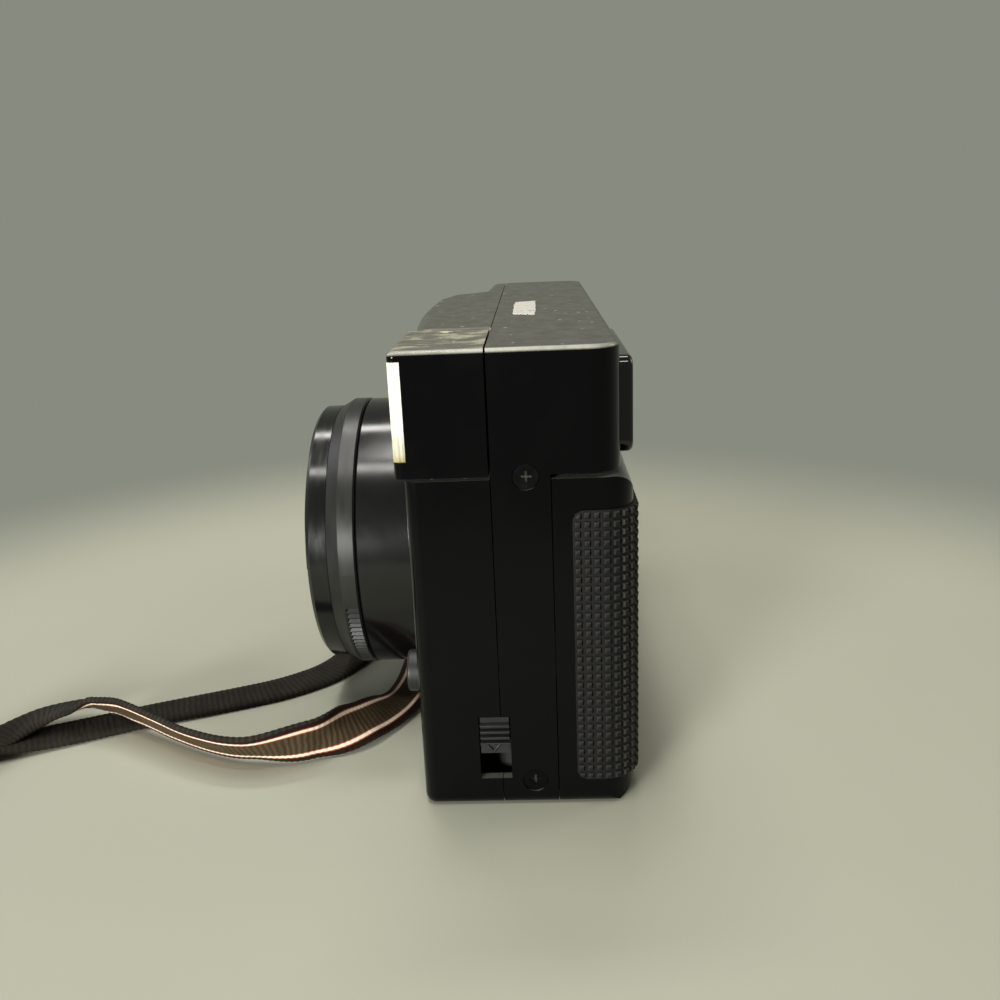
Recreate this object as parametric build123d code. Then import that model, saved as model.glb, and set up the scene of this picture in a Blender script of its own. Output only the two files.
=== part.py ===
from build123d import *
import math
import os

# A compact 35 mm film camera with a motor, a pop-up flash and a wrist strap. Millimetres.
# The origin is the tripod socket's centre on the base. X runs to the user's left, -Y is the
# front, where the lens looks, and Z is up.

# Body envelope
near_x = 53.0
far_x = -76.0
height = 77.0
front_y = -17.9
seam_front_y = -4.6
seam_rear_y = 4.7
cover_back_y = 15.7
door_back_y = 17.7
cover_floor_z = 57.5
shelf_step = 0.6
shelf_z = cover_floor_z - shelf_step
wall = 1.6
seam_gap = 0.15
base_edge_r = 1.6
top_edge_r = 1.0
front_corner_r = 2.0
rear_corner_r = 5.0

# Hand grip and the lower deck above it
grip_y = -20.6
grip_ramp_start_x = -41.0
grip_ramp_end_x = -47.0
grip_corner_r = 7.0
deck_drop = 6.0
deck_z = height - deck_drop
deck_start_x = -38.0
deck_edge_r = 1.5

# Head: the raised block over the lens, whose front bulges and steps back towards the deck
head_near_x = 27.4
head_near_y = -18.0
head_bulge_x = -2.0
head_bulge_y = -20.2
head_bulge_r = 280.0
head_far_x = -33.0
head_far_y = -19.6
head_far_r = 10.0
head_shoulder_x = -44.0
head_shoulder_y = -17.0
head_shoulder_r = 2.5
head_waist_x = -50.5
head_waist_y = -9.4
head_waist_r = 2.5
head_tail_y = -8.4
head_tail_r = 3.0
head_edge_r = 2.2

# Window panel in the head
panel_near_x = 25.4
panel_far_x = -28.5
panel_height = 11.2
panel_lift = 0.25
panel_corner_r = 2.0
panel_sink = 0.35
panel_thickness = 1.6
fit_gap = 0.1

# Lens
lens_z = 32.4
barrel_r = 27.6
barrel_flange_r = 28.6
barrel_flange = 1.0
barrel_front_y = -31.3
barrel_bore_r = 24.0
sleeve_r = 25.2
sleeve_front_y = -36.9
running_gap = 0.05
ring_r = 27.7
ring_rear_y = -31.45
ring_front_y = -37.0
ring_chamfer_y = -34.6
knurl_count = 15
knurl_pitch_deg = 2.6
knurl_middle_deg = -34.0
knurl_depth = 0.35
front_ring_r = 26.3
front_ring_rear_y = -37.1
rim_y = -41.0
rim_edge_r = 0.7
filter_r = 23.65
filter_floor_y = -37.6
filter_stop_r = 22.6
face_inner_r = 12.2
face_inner_y = -33.5
face_thickness = 1.0
meter_r = 2.2
meter_z = 50.6
cell_r = 12.0
cell_front_y = -33.8
cell_rear_y = -22.5
glass_r = 10.0
glass_dome_r = 40.0
glass_recess = 0.3
glass_seat = 3.0
block_r = 23.4
block_front_y = -30.0
block_rear_r = 21.5
block_rear_y = -2.2
aperture_r = 7.0
rear_glass_r = 8.0
rear_glass_thickness = 2.2

# Chassis, film gate and film chambers
chassis_near_x = 50.0
chassis_far_x = -60.0
chassis_front_y = -1.5
chassis_back_y = 7.6
chassis_low_z = 3.4
chassis_drop = 3.1
chassis_floor = 2.2
chassis_lid = 1.4
gate_width = 36.0
gate_height = 24.0
rail_far_x = -19.0
rail_near_x = 21.5
inner_rail = 1.4
inner_rail_height = 0.8
outer_rail = 1.2
outer_rail_height = 1.2
film_half = 17.5
cassette_x = 36.0
cassette_y = 3.2
cassette_chamber_r = 12.9
chamber_wall = 0.7
spool_x = -42.5
spool_y = 4.6
spool_chamber_r = 11.2
spool_r = 6.5
spool_bore_r = 5.6
spool_shaft_r = 1.5
motor_r = 5.1
motor_headroom = 6.0
sprocket_y = 2.6
sprocket_pocket_r = 7.6
sprocket_drum_r = 5.0
sprocket_wheel_r = 6.05
sprocket_teeth = 8
sprocket_tooth = 1.1
sprocket_wheel_z = 14.08
sprocket_wheel_thickness = 2.6
shaft_r = 1.5
fork_r = 4.6
fork_blade = 1.4
fork_drop = 3.0

# Gear train over the chassis
gear_module = 0.5
spool_gear_teeth = 24
idler_gear_teeth = 12
sprocket_gear_teeth = 16
fork_gear_teeth = 20
gear_thickness = 2.0
gear_lift = 0.3
gear_backlash = 0.12

# Finder, autofocus and electronics
finder_x = 18.6
finder_front_width = 12.6
finder_front_height = 8.6
finder_rear_width = 10.4
finder_rear_height = 7.6
finder_wall = 0.7
af_near_x = 0.0
af_far_x = -21.5
af_r = 3.6
af_depth = 8.0
bezel_near_x = 46.0
bezel_far_x = 8.0
bezel_sill = 1.1
bezel_brow = 3.0
bezel_thickness = 2.3
bezel_corner_r = 2.2
bezel_edge_r = 0.8
bezel_spigot_inset = 2.4
lamp_x = 37.0
lamp_r = 1.6
board_near_x = 8.0
board_far_x = -70.0
board_gap = 0.5
board_thickness = 1.1
board_post_r = 1.8
board_post_inset = 3.0
capacitor_gap = 0.5
capacitor_length = 34.0
capacitor_x = -41.0
capacitor_back_gap = 1.8

# Batteries
cell_aa_r = 7.1
cell_aa_length = 49.3
cell_aa_z = 2.9
cell_aa_gap = 0.15
cell_button = 1.1
cell_button_r = 2.7
contact_thickness = 0.5
contact_width = 10.0
contact_depth = 6.0
bridge_overhang = 3.0
bridge_depth = 4.0
bridge_post_r = 1.6
battery_door_lip = 1.65
battery_hinge_r = 0.95
battery_pin_r = 0.5
battery_hinge_z = 1.0

# Buttons, dial and switches
button_x = -63.5
button_y = -13.85
button_r = 4.2
button_rise = 2.2
button_travel = 1.6
button_stem_r = 1.6
collar_r = 5.2
collar_rise = 0.9
counter_x = -53.3
counter_y = -14.6
counter_width = 4.4
counter_depth = 2.8
dial_r = 4.4
dial_offset_y = 2.8
dial_thickness = 0.8
flash_key_x = 42.5
flash_key_z = 20.2
flash_key_r = 3.6
flash_key_rise = 2.7
flash_key_travel = 1.2
rewind_x = 19.6
rewind_length = 9.6
rewind_width = 4.4
rewind_travel = 4.0

# Flash block, which lifts out of the near end of the top
flash_gap = 0.5
flash_front_y = -19.2
flash_window_thickness = 2.0
flash_sill = 2.6
flash_brow = 1.6
flash_wall = 1.6
flash_lift = 12.0
flash_stem_near_x = 49.5
flash_stem_far_x = 31.0
flash_stem_front_y = -15.6
flash_stem_depth = 4.7
flash_stem_length = 15.9
flash_stem_gap = 0.2
flash_tube_r = 1.3
reflector_depth = 5.8
reflector_thickness = 0.4

# Rear door and its latch
door_top_gap = 0.7
door_recess_gap = 2.0
door_recess_far_x = -66.0
door_recess_near_x = 44.0
door_shoulder_r = 3.5
door_heel_r = 4.5
door_wall = 1.4
hinge_x = -75.4
hinge_y = 5.95
hinge_r = 1.1
hinge_pin_r = 0.6
hinge_low_z = 4.0
hinge_lug = 4.0
pad_start_y = 7.9
pad_end_x = 31.0
pad_low_z = 4.8
pad_drop = 5.1
pad_rise = 0.8
pad_corner_r = 1.5
grip_pad_near_x = -49.5
grip_pad_far_x = -68.5
grip_pad_low_z = 6.0
grip_pad_drop = 13.0
plate_far_x = -18.6
plate_near_x = 21.0
plate_thickness = 0.9
plate_film_gap = 0.25
plate_travel = 0.8
leaf_span = 24.0
leaf_width = 8.0
leaf_thickness = 0.25
seal_place = 12.0
seal_width = 4.0
seal_thickness = 1.6
seal_inset = 4.4
latch_window_front_y = -8.2
latch_window_rear_y = -3.0
latch_window_low_z = 5.1
latch_window_high_z = 16.5
latch_knob_height = 6.6
latch_travel = 4.4
latch_gap = 0.2
latch_proud = 0.7
latch_ribs = 4
latch_rib_pitch = 1.07
latch_rib_drop = 1.25
latch_bar_x = 50.3
latch_bar_thickness = 0.8
latch_bar_high_z = 30.0

# Screws, tripod bush and strap lug
bush_r = 4.0
bush_thread_r = 3.175
bush_depth = 6.0
bush_height = 7.5
screw_head_r = 2.0
screw_head = 0.8
screw_sink = 0.2
screw_shank_r = 0.9
screw_shank = 3.2
screw_slot = 0.7
screw_slot_depth = 0.4
side_screw_y = 0.9
side_screw_low_z = 4.6
side_screw_drop = 0.3
bottom_screw_x = 14.0
lug_y = -11.0
lug_drop = 2.9
lug_length = 12.0
lug_reach = 5.0
lug_bar_r = 0.8
keeper_length = 9.6
keeper_drop = 11.0
keeper_thickness = 4.0
strap_r = 1.6


# Box between a low and a high value on each axis
def block(x, y, z):
    centre = [(low + high) / 2 for low, high in (x, y, z)]
    return Pos(*centre) * Box(*[high - low for low, high in (x, y, z)])


# Cylinders along each axis, at two coordinates, between a low and a high value
def rodX(y, z, radius, low, high):
    return Pos((low + high) / 2, y, z) * Rot(0, 90, 0) * Cylinder(radius, high - low)


def rodY(x, z, radius, low, high):
    return Pos(x, (low + high) / 2, z) * Rot(90, 0, 0) * Cylinder(radius, high - low)


def rodZ(x, y, radius, low, high):
    return Pos(x, y, (low + high) / 2) * Cylinder(radius, high - low)


# Face whose corners are (x, y, radius), each rounded by its own arc
def outline(corners):
    cuts = []
    for i, (x, y, radius) in enumerate(corners):
        here = Vector(x, y)
        before = (Vector(*corners[i - 1][:2]) - here).normalized()
        after = (Vector(*corners[(i + 1) % len(corners)][:2]) - here).normalized()
        half = math.radians(before.get_angle(after)) / 2
        middle = here + (before + after).normalized() * (radius / math.sin(half) - radius)
        setback = radius / math.tan(half)
        cuts.append((here + before * setback, middle, here + after * setback))
    edges = []
    for i, (start, middle, end) in enumerate(cuts):
        if corners[i][2] > 0:
            edges.append(ThreePointArc(start, middle, end))
        edges.append(Line(end, cuts[(i + 1) % len(cuts)][0]))
    return make_face(edges)


def prism(corners, low, high):
    return extrude(Pos(0, 0, low) * outline(corners), amount=high - low)


# Prism along X whose outline is given as (y, z, radius)
def prismX(corners, low, high):
    plane = Plane(origin=(low, 0, 0), x_dir=(0, 1, 0), z_dir=(1, 0, 0))
    return extrude(plane * outline(corners), amount=high - low)


# Prism along Y whose outline is given as (x, z, radius)
def prismY(corners, low, high):
    plane = Plane(origin=(0, high, 0), x_dir=(1, 0, 0), z_dir=(0, -1, 0))
    return extrude(plane * outline(corners), amount=high - low)


def rectangle(x, z, radius):
    return [(x[0], z[0], radius), (x[1], z[0], radius), (x[1], z[1], radius), (x[0], z[1], radius)]


# Solid turned about the lens axis, from (radius, y) points
def turned(points):
    plane = Plane(origin=(0, 0, lens_z), x_dir=(1, 0, 0), z_dir=(0, 0, 1))
    return revolve(plane * make_face(Polyline(*points, close=True)), Axis((0, 0, lens_z), (0, 1, 0)))


# Spur gear blank with straight-flanked teeth on its pitch circle
def gear(x, y, teeth, low, high, turn=0.0):
    pitch_r = gear_module * teeth / 2
    tip_r = pitch_r + 0.9 * gear_module
    root_r = pitch_r - 1.15 * gear_module
    step = 2 * math.pi / teeth
    half_tooth = (math.pi * gear_module / 2 - gear_backlash) / 2 / pitch_r
    points = []
    for i in range(teeth):
        middle = i * step + math.radians(turn)
        for radius, spread in ((root_r, -1.45), (tip_r, -0.5), (tip_r, 0.5), (root_r, 1.45)):
            angle = middle + spread * half_tooth
            points.append((x + radius * math.cos(angle), y + radius * math.sin(angle)))
    return extrude(Pos(0, 0, low) * make_face(Polyline(*points, close=True)), amount=high - low)


# Cross-recess screw head with its shank, pointing along +Z from its face at the origin
def screw():
    head = Pos(0, 0, screw_head / 2) * Cylinder(screw_head_r, screw_head)
    shank = Pos(0, 0, screw_head + screw_shank / 2) * Cylinder(screw_shank_r, screw_shank)
    slot = Pos(0, 0, screw_slot_depth / 2) * Box(2.6 * screw_slot, screw_slot / 2, screw_slot_depth)
    return head + shank - slot - Rot(0, 0, 90) * slot


# The whole body's front silhouette, which rounds the base and the top of every shell
def silhouette(inset=0.0):
    low, high = far_x + inset, near_x - inset
    corners = [
        (low, inset, base_edge_r),
        (high, inset, base_edge_r),
        (high, height - inset, top_edge_r),
        (low, height - inset, top_edge_r),
    ]
    return prismY(corners, grip_y - 20, door_back_y + 20)


# Edges at one height that are neither in the seam's plane nor past a limit along X
def rim_edges(shape, z, x_limit=near_x + 1):
    level = shape.edges().filter_by_position(Axis.Z, z - 0.01, z + 0.01)
    return level.filter_by(lambda e: e.center().Y < seam_front_y - 0.01 and e.center().X < x_limit - 0.01)


def front_plan(inset=0.0):
    return [
        (near_x - inset, seam_front_y, 0),
        (near_x - inset, front_y + inset, front_corner_r),
        (grip_ramp_start_x, front_y + inset, 4.0),
        (grip_ramp_end_x, grip_y + inset, 4.0),
        (far_x + inset, grip_y + inset, grip_corner_r - inset),
        (far_x + inset, seam_front_y, 0),
    ]


def head_plan(inset=0.0):
    return [
        (head_near_x - inset, seam_front_y, 0),
        (head_near_x - inset, head_near_y + inset, 1.2),
        (head_bulge_x, head_bulge_y + inset, head_bulge_r),
        (head_far_x, head_far_y + inset, head_far_r - inset),
        (head_shoulder_x + inset / 2, head_shoulder_y + inset, head_shoulder_r),
        (head_waist_x + inset / 2, head_waist_y + inset, head_waist_r),
        (far_x + inset, head_tail_y + inset, head_tail_r - inset),
        (far_x + inset, seam_front_y, 0),
    ]


# Values that several pieces share
chassis_high_z = cover_floor_z - chassis_drop
cassette_low_z = chassis_low_z + chassis_floor
cassette_high_z = chassis_high_z - chassis_lid
spool_low_z = cassette_low_z
spool_high_z = cassette_high_z
motor_high_z = spool_high_z - motor_headroom
finder_z = (shelf_z + height) / 2 + panel_lift
panel_low_z = finder_z - panel_height / 2
panel_high_z = finder_z + panel_height / 2
bezel_low_z = cover_floor_z + bezel_sill
bezel_high_z = height - bezel_brow
door_top_z = cover_floor_z - door_top_gap
pad_high_z = door_top_z - pad_drop
grip_pad_high_z = deck_z - grip_pad_drop
side_screw_high_z = cover_floor_z - side_screw_drop
lug_z = shelf_z - lug_drop
stem_rear_y = flash_stem_front_y + flash_stem_depth
gate_low_z = lens_z - gate_height / 2
gate_high_z = lens_z + gate_height / 2
outer_rail_y = chassis_back_y + outer_rail_height
film_y = chassis_back_y + inner_rail_height
gear_floor_z = cover_floor_z + wall
gear_low_z = gear_floor_z + gear_lift
gear_high_z = gear_low_z + gear_thickness
board_z = gear_high_z + board_gap
board_top_z = board_z + board_thickness
capacitor_room = min(height - wall - board_top_z, cover_back_y - wall - seam_front_y)
capacitor_r = capacitor_room / 2 - capacitor_gap
capacitor_y = cover_back_y - wall - capacitor_back_gap - capacitor_r
spool_to_sprocket = gear_module * (spool_gear_teeth / 2 + idler_gear_teeth + sprocket_gear_teeth / 2)
sprocket_x = spool_x + math.sqrt(spool_to_sprocket**2 - (spool_y - sprocket_y) ** 2)
idler_share = gear_module * (spool_gear_teeth + idler_gear_teeth) / 2 / spool_to_sprocket
idler_x = spool_x + (sprocket_x - spool_x) * idler_share
idler_y = spool_y + (sprocket_y - spool_y) * idler_share
cell_aa_y = grip_y + wall + cell_aa_gap + cell_aa_r
cell_far_x = far_x + wall + cell_aa_gap + cell_aa_r
cell_near_x = cell_far_x + 2 * cell_aa_r + cell_aa_gap
contact_top_z = cell_aa_z + cell_aa_length + cell_button + contact_thickness + 0.05
battery_hinge_x = cell_near_x + cell_aa_r - battery_hinge_r
battery_door_front_y = grip_y + battery_door_lip
button_bore_r = button_r + fit_gap
dial_high_z = deck_z - wall - 1.0
knob_high_z = latch_window_high_z - latch_gap
knob_low_z = knob_high_z - latch_knob_height
lug_bar_x = far_x - lug_reach
keeper_low_z = lug_z - keeper_drop
door_inner_y = door_back_y - door_wall
plate_front_y = outer_rail_y + plate_film_gap
plate_back_y = plate_front_y + plate_thickness
flash_low_z = shelf_z + flash_gap
flash_window_low_z = flash_low_z + flash_sill
flash_window_high_z = height - flash_brow
flash_stem_low_z = flash_low_z - flash_stem_length
flash_far_x = head_near_x + flash_gap
flash_rear_y = seam_front_y - seam_gap
reflector_back_y = flash_front_y + flash_window_thickness + 0.1 + reflector_depth


# Opening for the latch slide, cut in both shells where they meet
def latch_window():
    return block(
        (near_x - wall - 1, near_x + 1),
        (latch_window_front_y, latch_window_rear_y),
        (latch_window_low_z, latch_window_high_z),
    )


# Opening in the base over the batteries
def battery_opening(clearance):
    return block(
        (cell_far_x - cell_aa_r - clearance, battery_hinge_x + battery_hinge_z + 2 * clearance),
        (battery_door_front_y - clearance, seam_front_y + clearance),
        (-1, wall + 0.2),
    )


# Front moulding: lens opening, flash shelf, head with its window opening, grip and deck
def front_shell():
    lower = prism(front_plan(), 0, shelf_z)
    lower = fillet(rim_edges(lower, 0), base_edge_r)
    deck = prism(front_plan(), shelf_z / 2, deck_z) & block(
        (far_x - 1, deck_start_x), (grip_y - 1, seam_front_y), (0, deck_z)
    )
    deck = fillet(rim_edges(deck, deck_z, deck_start_x), deck_edge_r)
    head = prism(head_plan(), shelf_z, height)
    head = fillet(
        head.edges()
        .filter_by_position(Axis.Z, height - 0.01, height + 0.01)
        .filter_by(lambda e: e.center().Y < head_tail_y - 1.5 and e.center().X < head_near_x - 1),
        head_edge_r,
    )
    shell = lower + deck + (head & silhouette())
    low_room = prism(front_plan(wall), wall, shelf_z - wall)
    deck_room = prism(front_plan(wall), wall, deck_z - wall) & block(
        (far_x - 1, deck_start_x), (grip_y - 1, seam_front_y + 1), (0, deck_z)
    )
    link_room = block(
        (far_x + wall, head_near_x - wall),
        (front_y + wall, seam_front_y + 1),
        (shelf_z - wall - 1, shelf_z + wall + 1),
    )
    head_room = prism(head_plan(wall), shelf_z + wall, height - wall)
    shell = shell - low_room - deck_room - link_room - head_room
    ceiling = prism(front_plan(), contact_top_z, contact_top_z + wall)
    shell += ceiling & block(
        (far_x - 1, cell_near_x + cell_aa_r), (grip_y - 1, cell_aa_y + 3.5), (contact_top_z, shelf_z)
    )

    shell -= rodY(0, lens_z, barrel_r + fit_gap, grip_y - 5, front_y + wall + 1)
    window = rectangle((panel_far_x, panel_near_x), (panel_low_z, panel_high_z), panel_corner_r)
    shell -= prismY(window, grip_y - 2, head_near_y + wall + 1)
    shell -= block(
        (flash_stem_far_x - flash_stem_gap, flash_stem_near_x + flash_stem_gap),
        (flash_stem_front_y - flash_stem_gap, stem_rear_y + flash_stem_gap),
        (shelf_z - wall - 1, shelf_z + 1),
    )
    shell -= latch_window()
    shell -= rodY(flash_key_x, flash_key_z, flash_key_r + fit_gap, front_y - 1, front_y + wall + 1)
    shell -= rodZ(button_x, button_y, button_bore_r + 0.1, deck_z - wall - 1, deck_z + 1)
    shell -= rodZ(button_x, button_y, collar_r + fit_gap, deck_z - wall / 2, deck_z + 1)
    shell -= block(
        (counter_x - counter_width / 2, counter_x + counter_width / 2),
        (counter_y - counter_depth / 2, counter_y + counter_depth / 2),
        (deck_z - wall - 1, deck_z + 1),
    )
    dial_boss = rodZ(counter_x, counter_y + dial_offset_y, 1.3, dial_high_z + 0.2, deck_z - wall + 0.1)
    shell += dial_boss
    shell -= rodZ(counter_x, counter_y + dial_offset_y, 0.6 + running_gap, dial_high_z, deck_z - wall + 0.8)
    shell -= battery_opening(seam_gap)
    for low, high in battery_ears():
        shell += block(
            (battery_hinge_x - battery_hinge_r, battery_hinge_x + battery_hinge_r + wall),
            (low, high),
            (0.4, wall + battery_hinge_r),
        )
    shell -= rodY(battery_hinge_x, battery_hinge_z, battery_pin_r, battery_door_front_y, seam_front_y)
    return shell


# The two ears that carry the battery door's pin, as (low, high) along Y
def battery_ears():
    front = battery_door_front_y
    return [(front - 0.4, front + 2.0), (seam_front_y - 2.6, seam_front_y - 0.3)]


# Middle ring and top cover in one moulding
def rear_shell():
    ring = block((far_x, near_x), (seam_front_y + seam_gap, seam_rear_y), (0, cover_floor_z + 1))
    cover_corners = [
        (far_x, seam_front_y + seam_gap, 0),
        (near_x, seam_front_y + seam_gap, 0),
        (near_x, cover_back_y, rear_corner_r),
        (far_x, cover_back_y, rear_corner_r),
    ]
    cover = prism(cover_corners, cover_floor_z, height)
    cover = fillet(
        cover.edges()
        .filter_by_position(Axis.Z, height - 0.01, height + 0.01)
        .filter_by(lambda e: e.center().Y > cover_back_y - rear_corner_r),
        top_edge_r,
    )
    ring_room = block(
        (far_x + wall, near_x - wall), (seam_front_y, seam_rear_y + 1), (wall, cover_floor_z)
    )
    link_room = block(
        (far_x + wall, near_x - wall),
        (seam_front_y, seam_rear_y - wall),
        (cover_floor_z - 1, cover_floor_z + wall + 1),
    )
    room_corners = [
        (far_x + wall, seam_front_y, 0),
        (near_x - wall, seam_front_y, 0),
        (near_x - wall, cover_back_y - wall, rear_corner_r - wall),
        (far_x + wall, cover_back_y - wall, rear_corner_r - wall),
    ]
    cover_room = prism(room_corners, cover_floor_z + wall, height - wall)
    shell = ((ring + cover) & silhouette()) - ring_room - link_room - cover_room
    bay_wall = block(
        (head_near_x - wall, near_x - 0.5),
        (seam_front_y + seam_gap, seam_front_y + seam_gap + wall),
        (shelf_z - wall, height - 0.5),
    )
    shell += bay_wall
    for low in (hinge_low_z, door_top_z - hinge_low_z - hinge_lug):
        shell += rodZ(hinge_x, hinge_y, hinge_r, low, low + hinge_lug)
        shell += block(
            (hinge_x - hinge_r / 2, hinge_x + hinge_r), (seam_rear_y - 1, hinge_y), (low, low + hinge_lug)
        )
        shell -= rodZ(hinge_x, hinge_y, hinge_pin_r, low - 1, low + hinge_lug + 1)
    for z in (side_screw_low_z, side_screw_high_z):
        shell -= rodX(side_screw_y, z, screw_head_r + fit_gap, near_x - screw_head - screw_sink, near_x + 1)
        shell -= rodX(side_screw_y, z, screw_shank_r + fit_gap, near_x - wall - 1, near_x + 1)
    for x in (-bottom_screw_x, bottom_screw_x):
        shell -= rodZ(x, 0, screw_head_r + fit_gap, -1, screw_head + screw_sink)
        shell -= rodZ(x, 0, screw_shank_r + fit_gap, -1, wall + 1)
    shell -= rodZ(0, 0, bush_r + fit_gap, -1, wall + 1)
    shell -= latch_window()
    shell -= block(
        (rewind_x - fit_gap, rewind_x + rewind_length + fit_gap),
        (-rewind_width / 2 - fit_gap, rewind_width / 2 + fit_gap),
        (-1, wall + 1),
    )
    spigot = bezel_outline(bezel_spigot_inset - fit_gap)
    shell -= prismY(spigot, cover_back_y - wall - 1, cover_back_y + 1)
    for x, y in ((spool_x, spool_y), (sprocket_x, sprocket_y), (cassette_x, cassette_y)):
        shell -= rodZ(x, y, shaft_r + 0.3, cover_floor_z - 1, gear_floor_z + 1)
    shell += rodZ(idler_x, idler_y, 2.2, cover_floor_z - 0.2, gear_floor_z)
    shell -= rodZ(idler_x, idler_y, 1.0 + running_gap, cover_floor_z + 0.4, gear_floor_z + 1)
    for x in (board_far_x + board_post_inset, board_near_x - 6 * board_post_inset):
        shell += rodZ(x, cover_back_y - wall - board_post_inset, board_post_r, gear_floor_z - 0.2, board_z)
    return shell


# Inner frame with the film gate, its rails, the cassette chamber and the take-up chamber
def chassis():
    frame = block(
        (chassis_far_x, chassis_near_x), (chassis_front_y, chassis_back_y), (chassis_low_z, chassis_high_z)
    )
    cassette_wall_r = cassette_chamber_r + chamber_wall
    spool_wall_r = spool_chamber_r + chamber_wall
    behind = block(
        (chassis_far_x - 20, chassis_near_x + 20), (chassis_back_y, door_back_y + 20), (0, height)
    )
    frame += rodZ(cassette_x, cassette_y, cassette_wall_r, chassis_low_z, chassis_high_z) - behind
    frame += rodZ(spool_x, spool_y, spool_wall_r, chassis_low_z, chassis_high_z) - behind
    for x, y, radius, low, high in (
        (cassette_x, cassette_y, cassette_chamber_r, cassette_low_z, cassette_high_z),
        (spool_x, spool_y, spool_chamber_r, spool_low_z, spool_high_z),
        (sprocket_x, sprocket_y, sprocket_pocket_r, lens_z - 18.5, lens_z + 18.5),
    ):
        frame -= rodZ(x, y, radius, low, high)
        frame -= block((x - radius, x + radius), (y, chassis_back_y + 1), (low, high))
    gate_x = (-gate_width / 2, gate_width / 2)
    frame -= block(gate_x, (chassis_front_y - 1, chassis_back_y + 1), (gate_low_z, gate_high_z))
    rail_x = (rail_far_x, rail_near_x)
    for side in (-1, 1):
        inner_z = lens_z + side * (gate_height / 2 + inner_rail)
        outer_z = lens_z + side * (film_half + outer_rail)
        frame += block(
            rail_x, (chassis_back_y - 0.1, film_y), (inner_z - inner_rail / 2, inner_z + inner_rail / 2)
        )
        frame += block(
            rail_x, (chassis_back_y - 0.1, outer_rail_y), (outer_z - outer_rail / 2, outer_z + outer_rail / 2)
        )
    for x, y in ((cassette_x, cassette_y), (spool_x, spool_y), (sprocket_x, sprocket_y)):
        frame -= rodZ(x, y, shaft_r + running_gap, lens_z, chassis_high_z + 1)
    frame -= rodZ(sprocket_x, sprocket_y, shaft_r + running_gap, chassis_low_z + 0.8, lens_z)
    frame -= rodZ(0, 0, bush_r + fit_gap, chassis_low_z - 1, bush_height + fit_gap)
    for x in (-bottom_screw_x, bottom_screw_x):
        frame -= rodZ(x, 0, screw_shank_r, chassis_low_z - 1, screw_sink + screw_head + screw_shank)
    bosses = (
        (chassis_low_z - 1.2, side_screw_low_z + 2),
        (chassis_high_z - 2, side_screw_high_z + 1.8),
    )
    for low, high in bosses:
        frame += block(
            (chassis_near_x - 3, near_x - wall - 0.1),
            (chassis_front_y, seam_rear_y - wall - 0.2),
            (low, high),
        )
    for z in (side_screw_low_z, side_screw_high_z):
        frame -= rodX(side_screw_y, z, screw_shank_r, near_x - screw_head - screw_sink - screw_shank, near_x)
    return frame


# Fixed rear tube of the lens, with the sleeve that the film-speed ring turns on
def lens_barrel():
    inner_y = front_y + wall
    return turned(
        [
            (barrel_bore_r, inner_y + barrel_flange),
            (barrel_flange_r, inner_y + barrel_flange),
            (barrel_flange_r, inner_y + 0.02),
            (barrel_r, inner_y + 0.02),
            (barrel_r, barrel_front_y + 0.3),
            (barrel_r - 0.3, barrel_front_y),
            (sleeve_r, barrel_front_y),
            (sleeve_r, sleeve_front_y),
            (barrel_bore_r, sleeve_front_y),
        ]
    )


# Film-speed ring with its short knurled sector
def film_speed_ring():
    bore = sleeve_r + running_gap
    ring = turned(
        [
            (bore, ring_rear_y),
            (ring_r - 0.3, ring_rear_y),
            (ring_r, ring_rear_y - 0.3),
            (ring_r, ring_chamfer_y),
            (front_ring_r, ring_front_y),
            (bore, ring_front_y),
        ]
    )
    first = knurl_middle_deg - knurl_pitch_deg * (knurl_count - 1) / 2
    for i in range(knurl_count):
        angle = first + i * knurl_pitch_deg
        groove = Pos(ring_r, 0, 0) * Rot(0, 45, 0) * Box(
            knurl_depth * 2, ring_rear_y - ring_chamfer_y - 0.8, knurl_depth * 2
        )
        place = Pos(0, (ring_rear_y + ring_chamfer_y) / 2, lens_z) * Rot(0, -angle, 0)
        ring -= place * groove
    return ring


# Front ring with the filter thread's bore and a stop behind it
def front_ring():
    ring = turned(
        [
            (filter_r, rim_y),
            (front_ring_r - rim_edge_r, rim_y),
            (front_ring_r, rim_y + rim_edge_r),
            (front_ring_r, front_ring_rear_y),
            (sleeve_r, front_ring_rear_y),
            (sleeve_r, sleeve_front_y),
            (filter_stop_r, sleeve_front_y),
            (filter_stop_r, filter_floor_y),
            (filter_r, filter_floor_y),
        ]
    )
    return ring


# Bare cone round the front glass, with the metering window's hole
def lens_face():
    outer_r = filter_stop_r - fit_gap
    cone = turned(
        [
            (outer_r, filter_floor_y + 0.3),
            (outer_r, filter_floor_y + 0.3 + face_thickness),
            (face_inner_r, face_inner_y + face_thickness),
            (face_inner_r, face_inner_y),
        ]
    )
    return cone - rodY(0, meter_z, meter_r + running_gap, filter_floor_y, face_inner_y + 2)


def metering_window():
    middle = (meter_z - lens_z - face_inner_r) / (filter_stop_r - fit_gap - face_inner_r)
    front = face_inner_y + (filter_floor_y + 0.3 - face_inner_y) * middle
    return rodY(0, meter_z, meter_r, front, front + 1.8)


# Sliding cell that carries the front glass and focuses
def lens_cell():
    return turned(
        [
            (glass_r, cell_front_y),
            (cell_r, cell_front_y),
            (cell_r, cell_rear_y),
            (glass_r - 1.2, cell_rear_y),
            (glass_r - 1.2, cell_front_y + glass_seat),
            (glass_r, cell_front_y + glass_seat),
        ]
    )


def front_glass():
    front = cell_front_y + glass_recess
    disc = rodY(0, lens_z, glass_r - running_gap, front, cell_front_y + glass_seat - running_gap)
    return disc & (Pos(0, front + glass_dome_r, lens_z) * Sphere(glass_dome_r))


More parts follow.
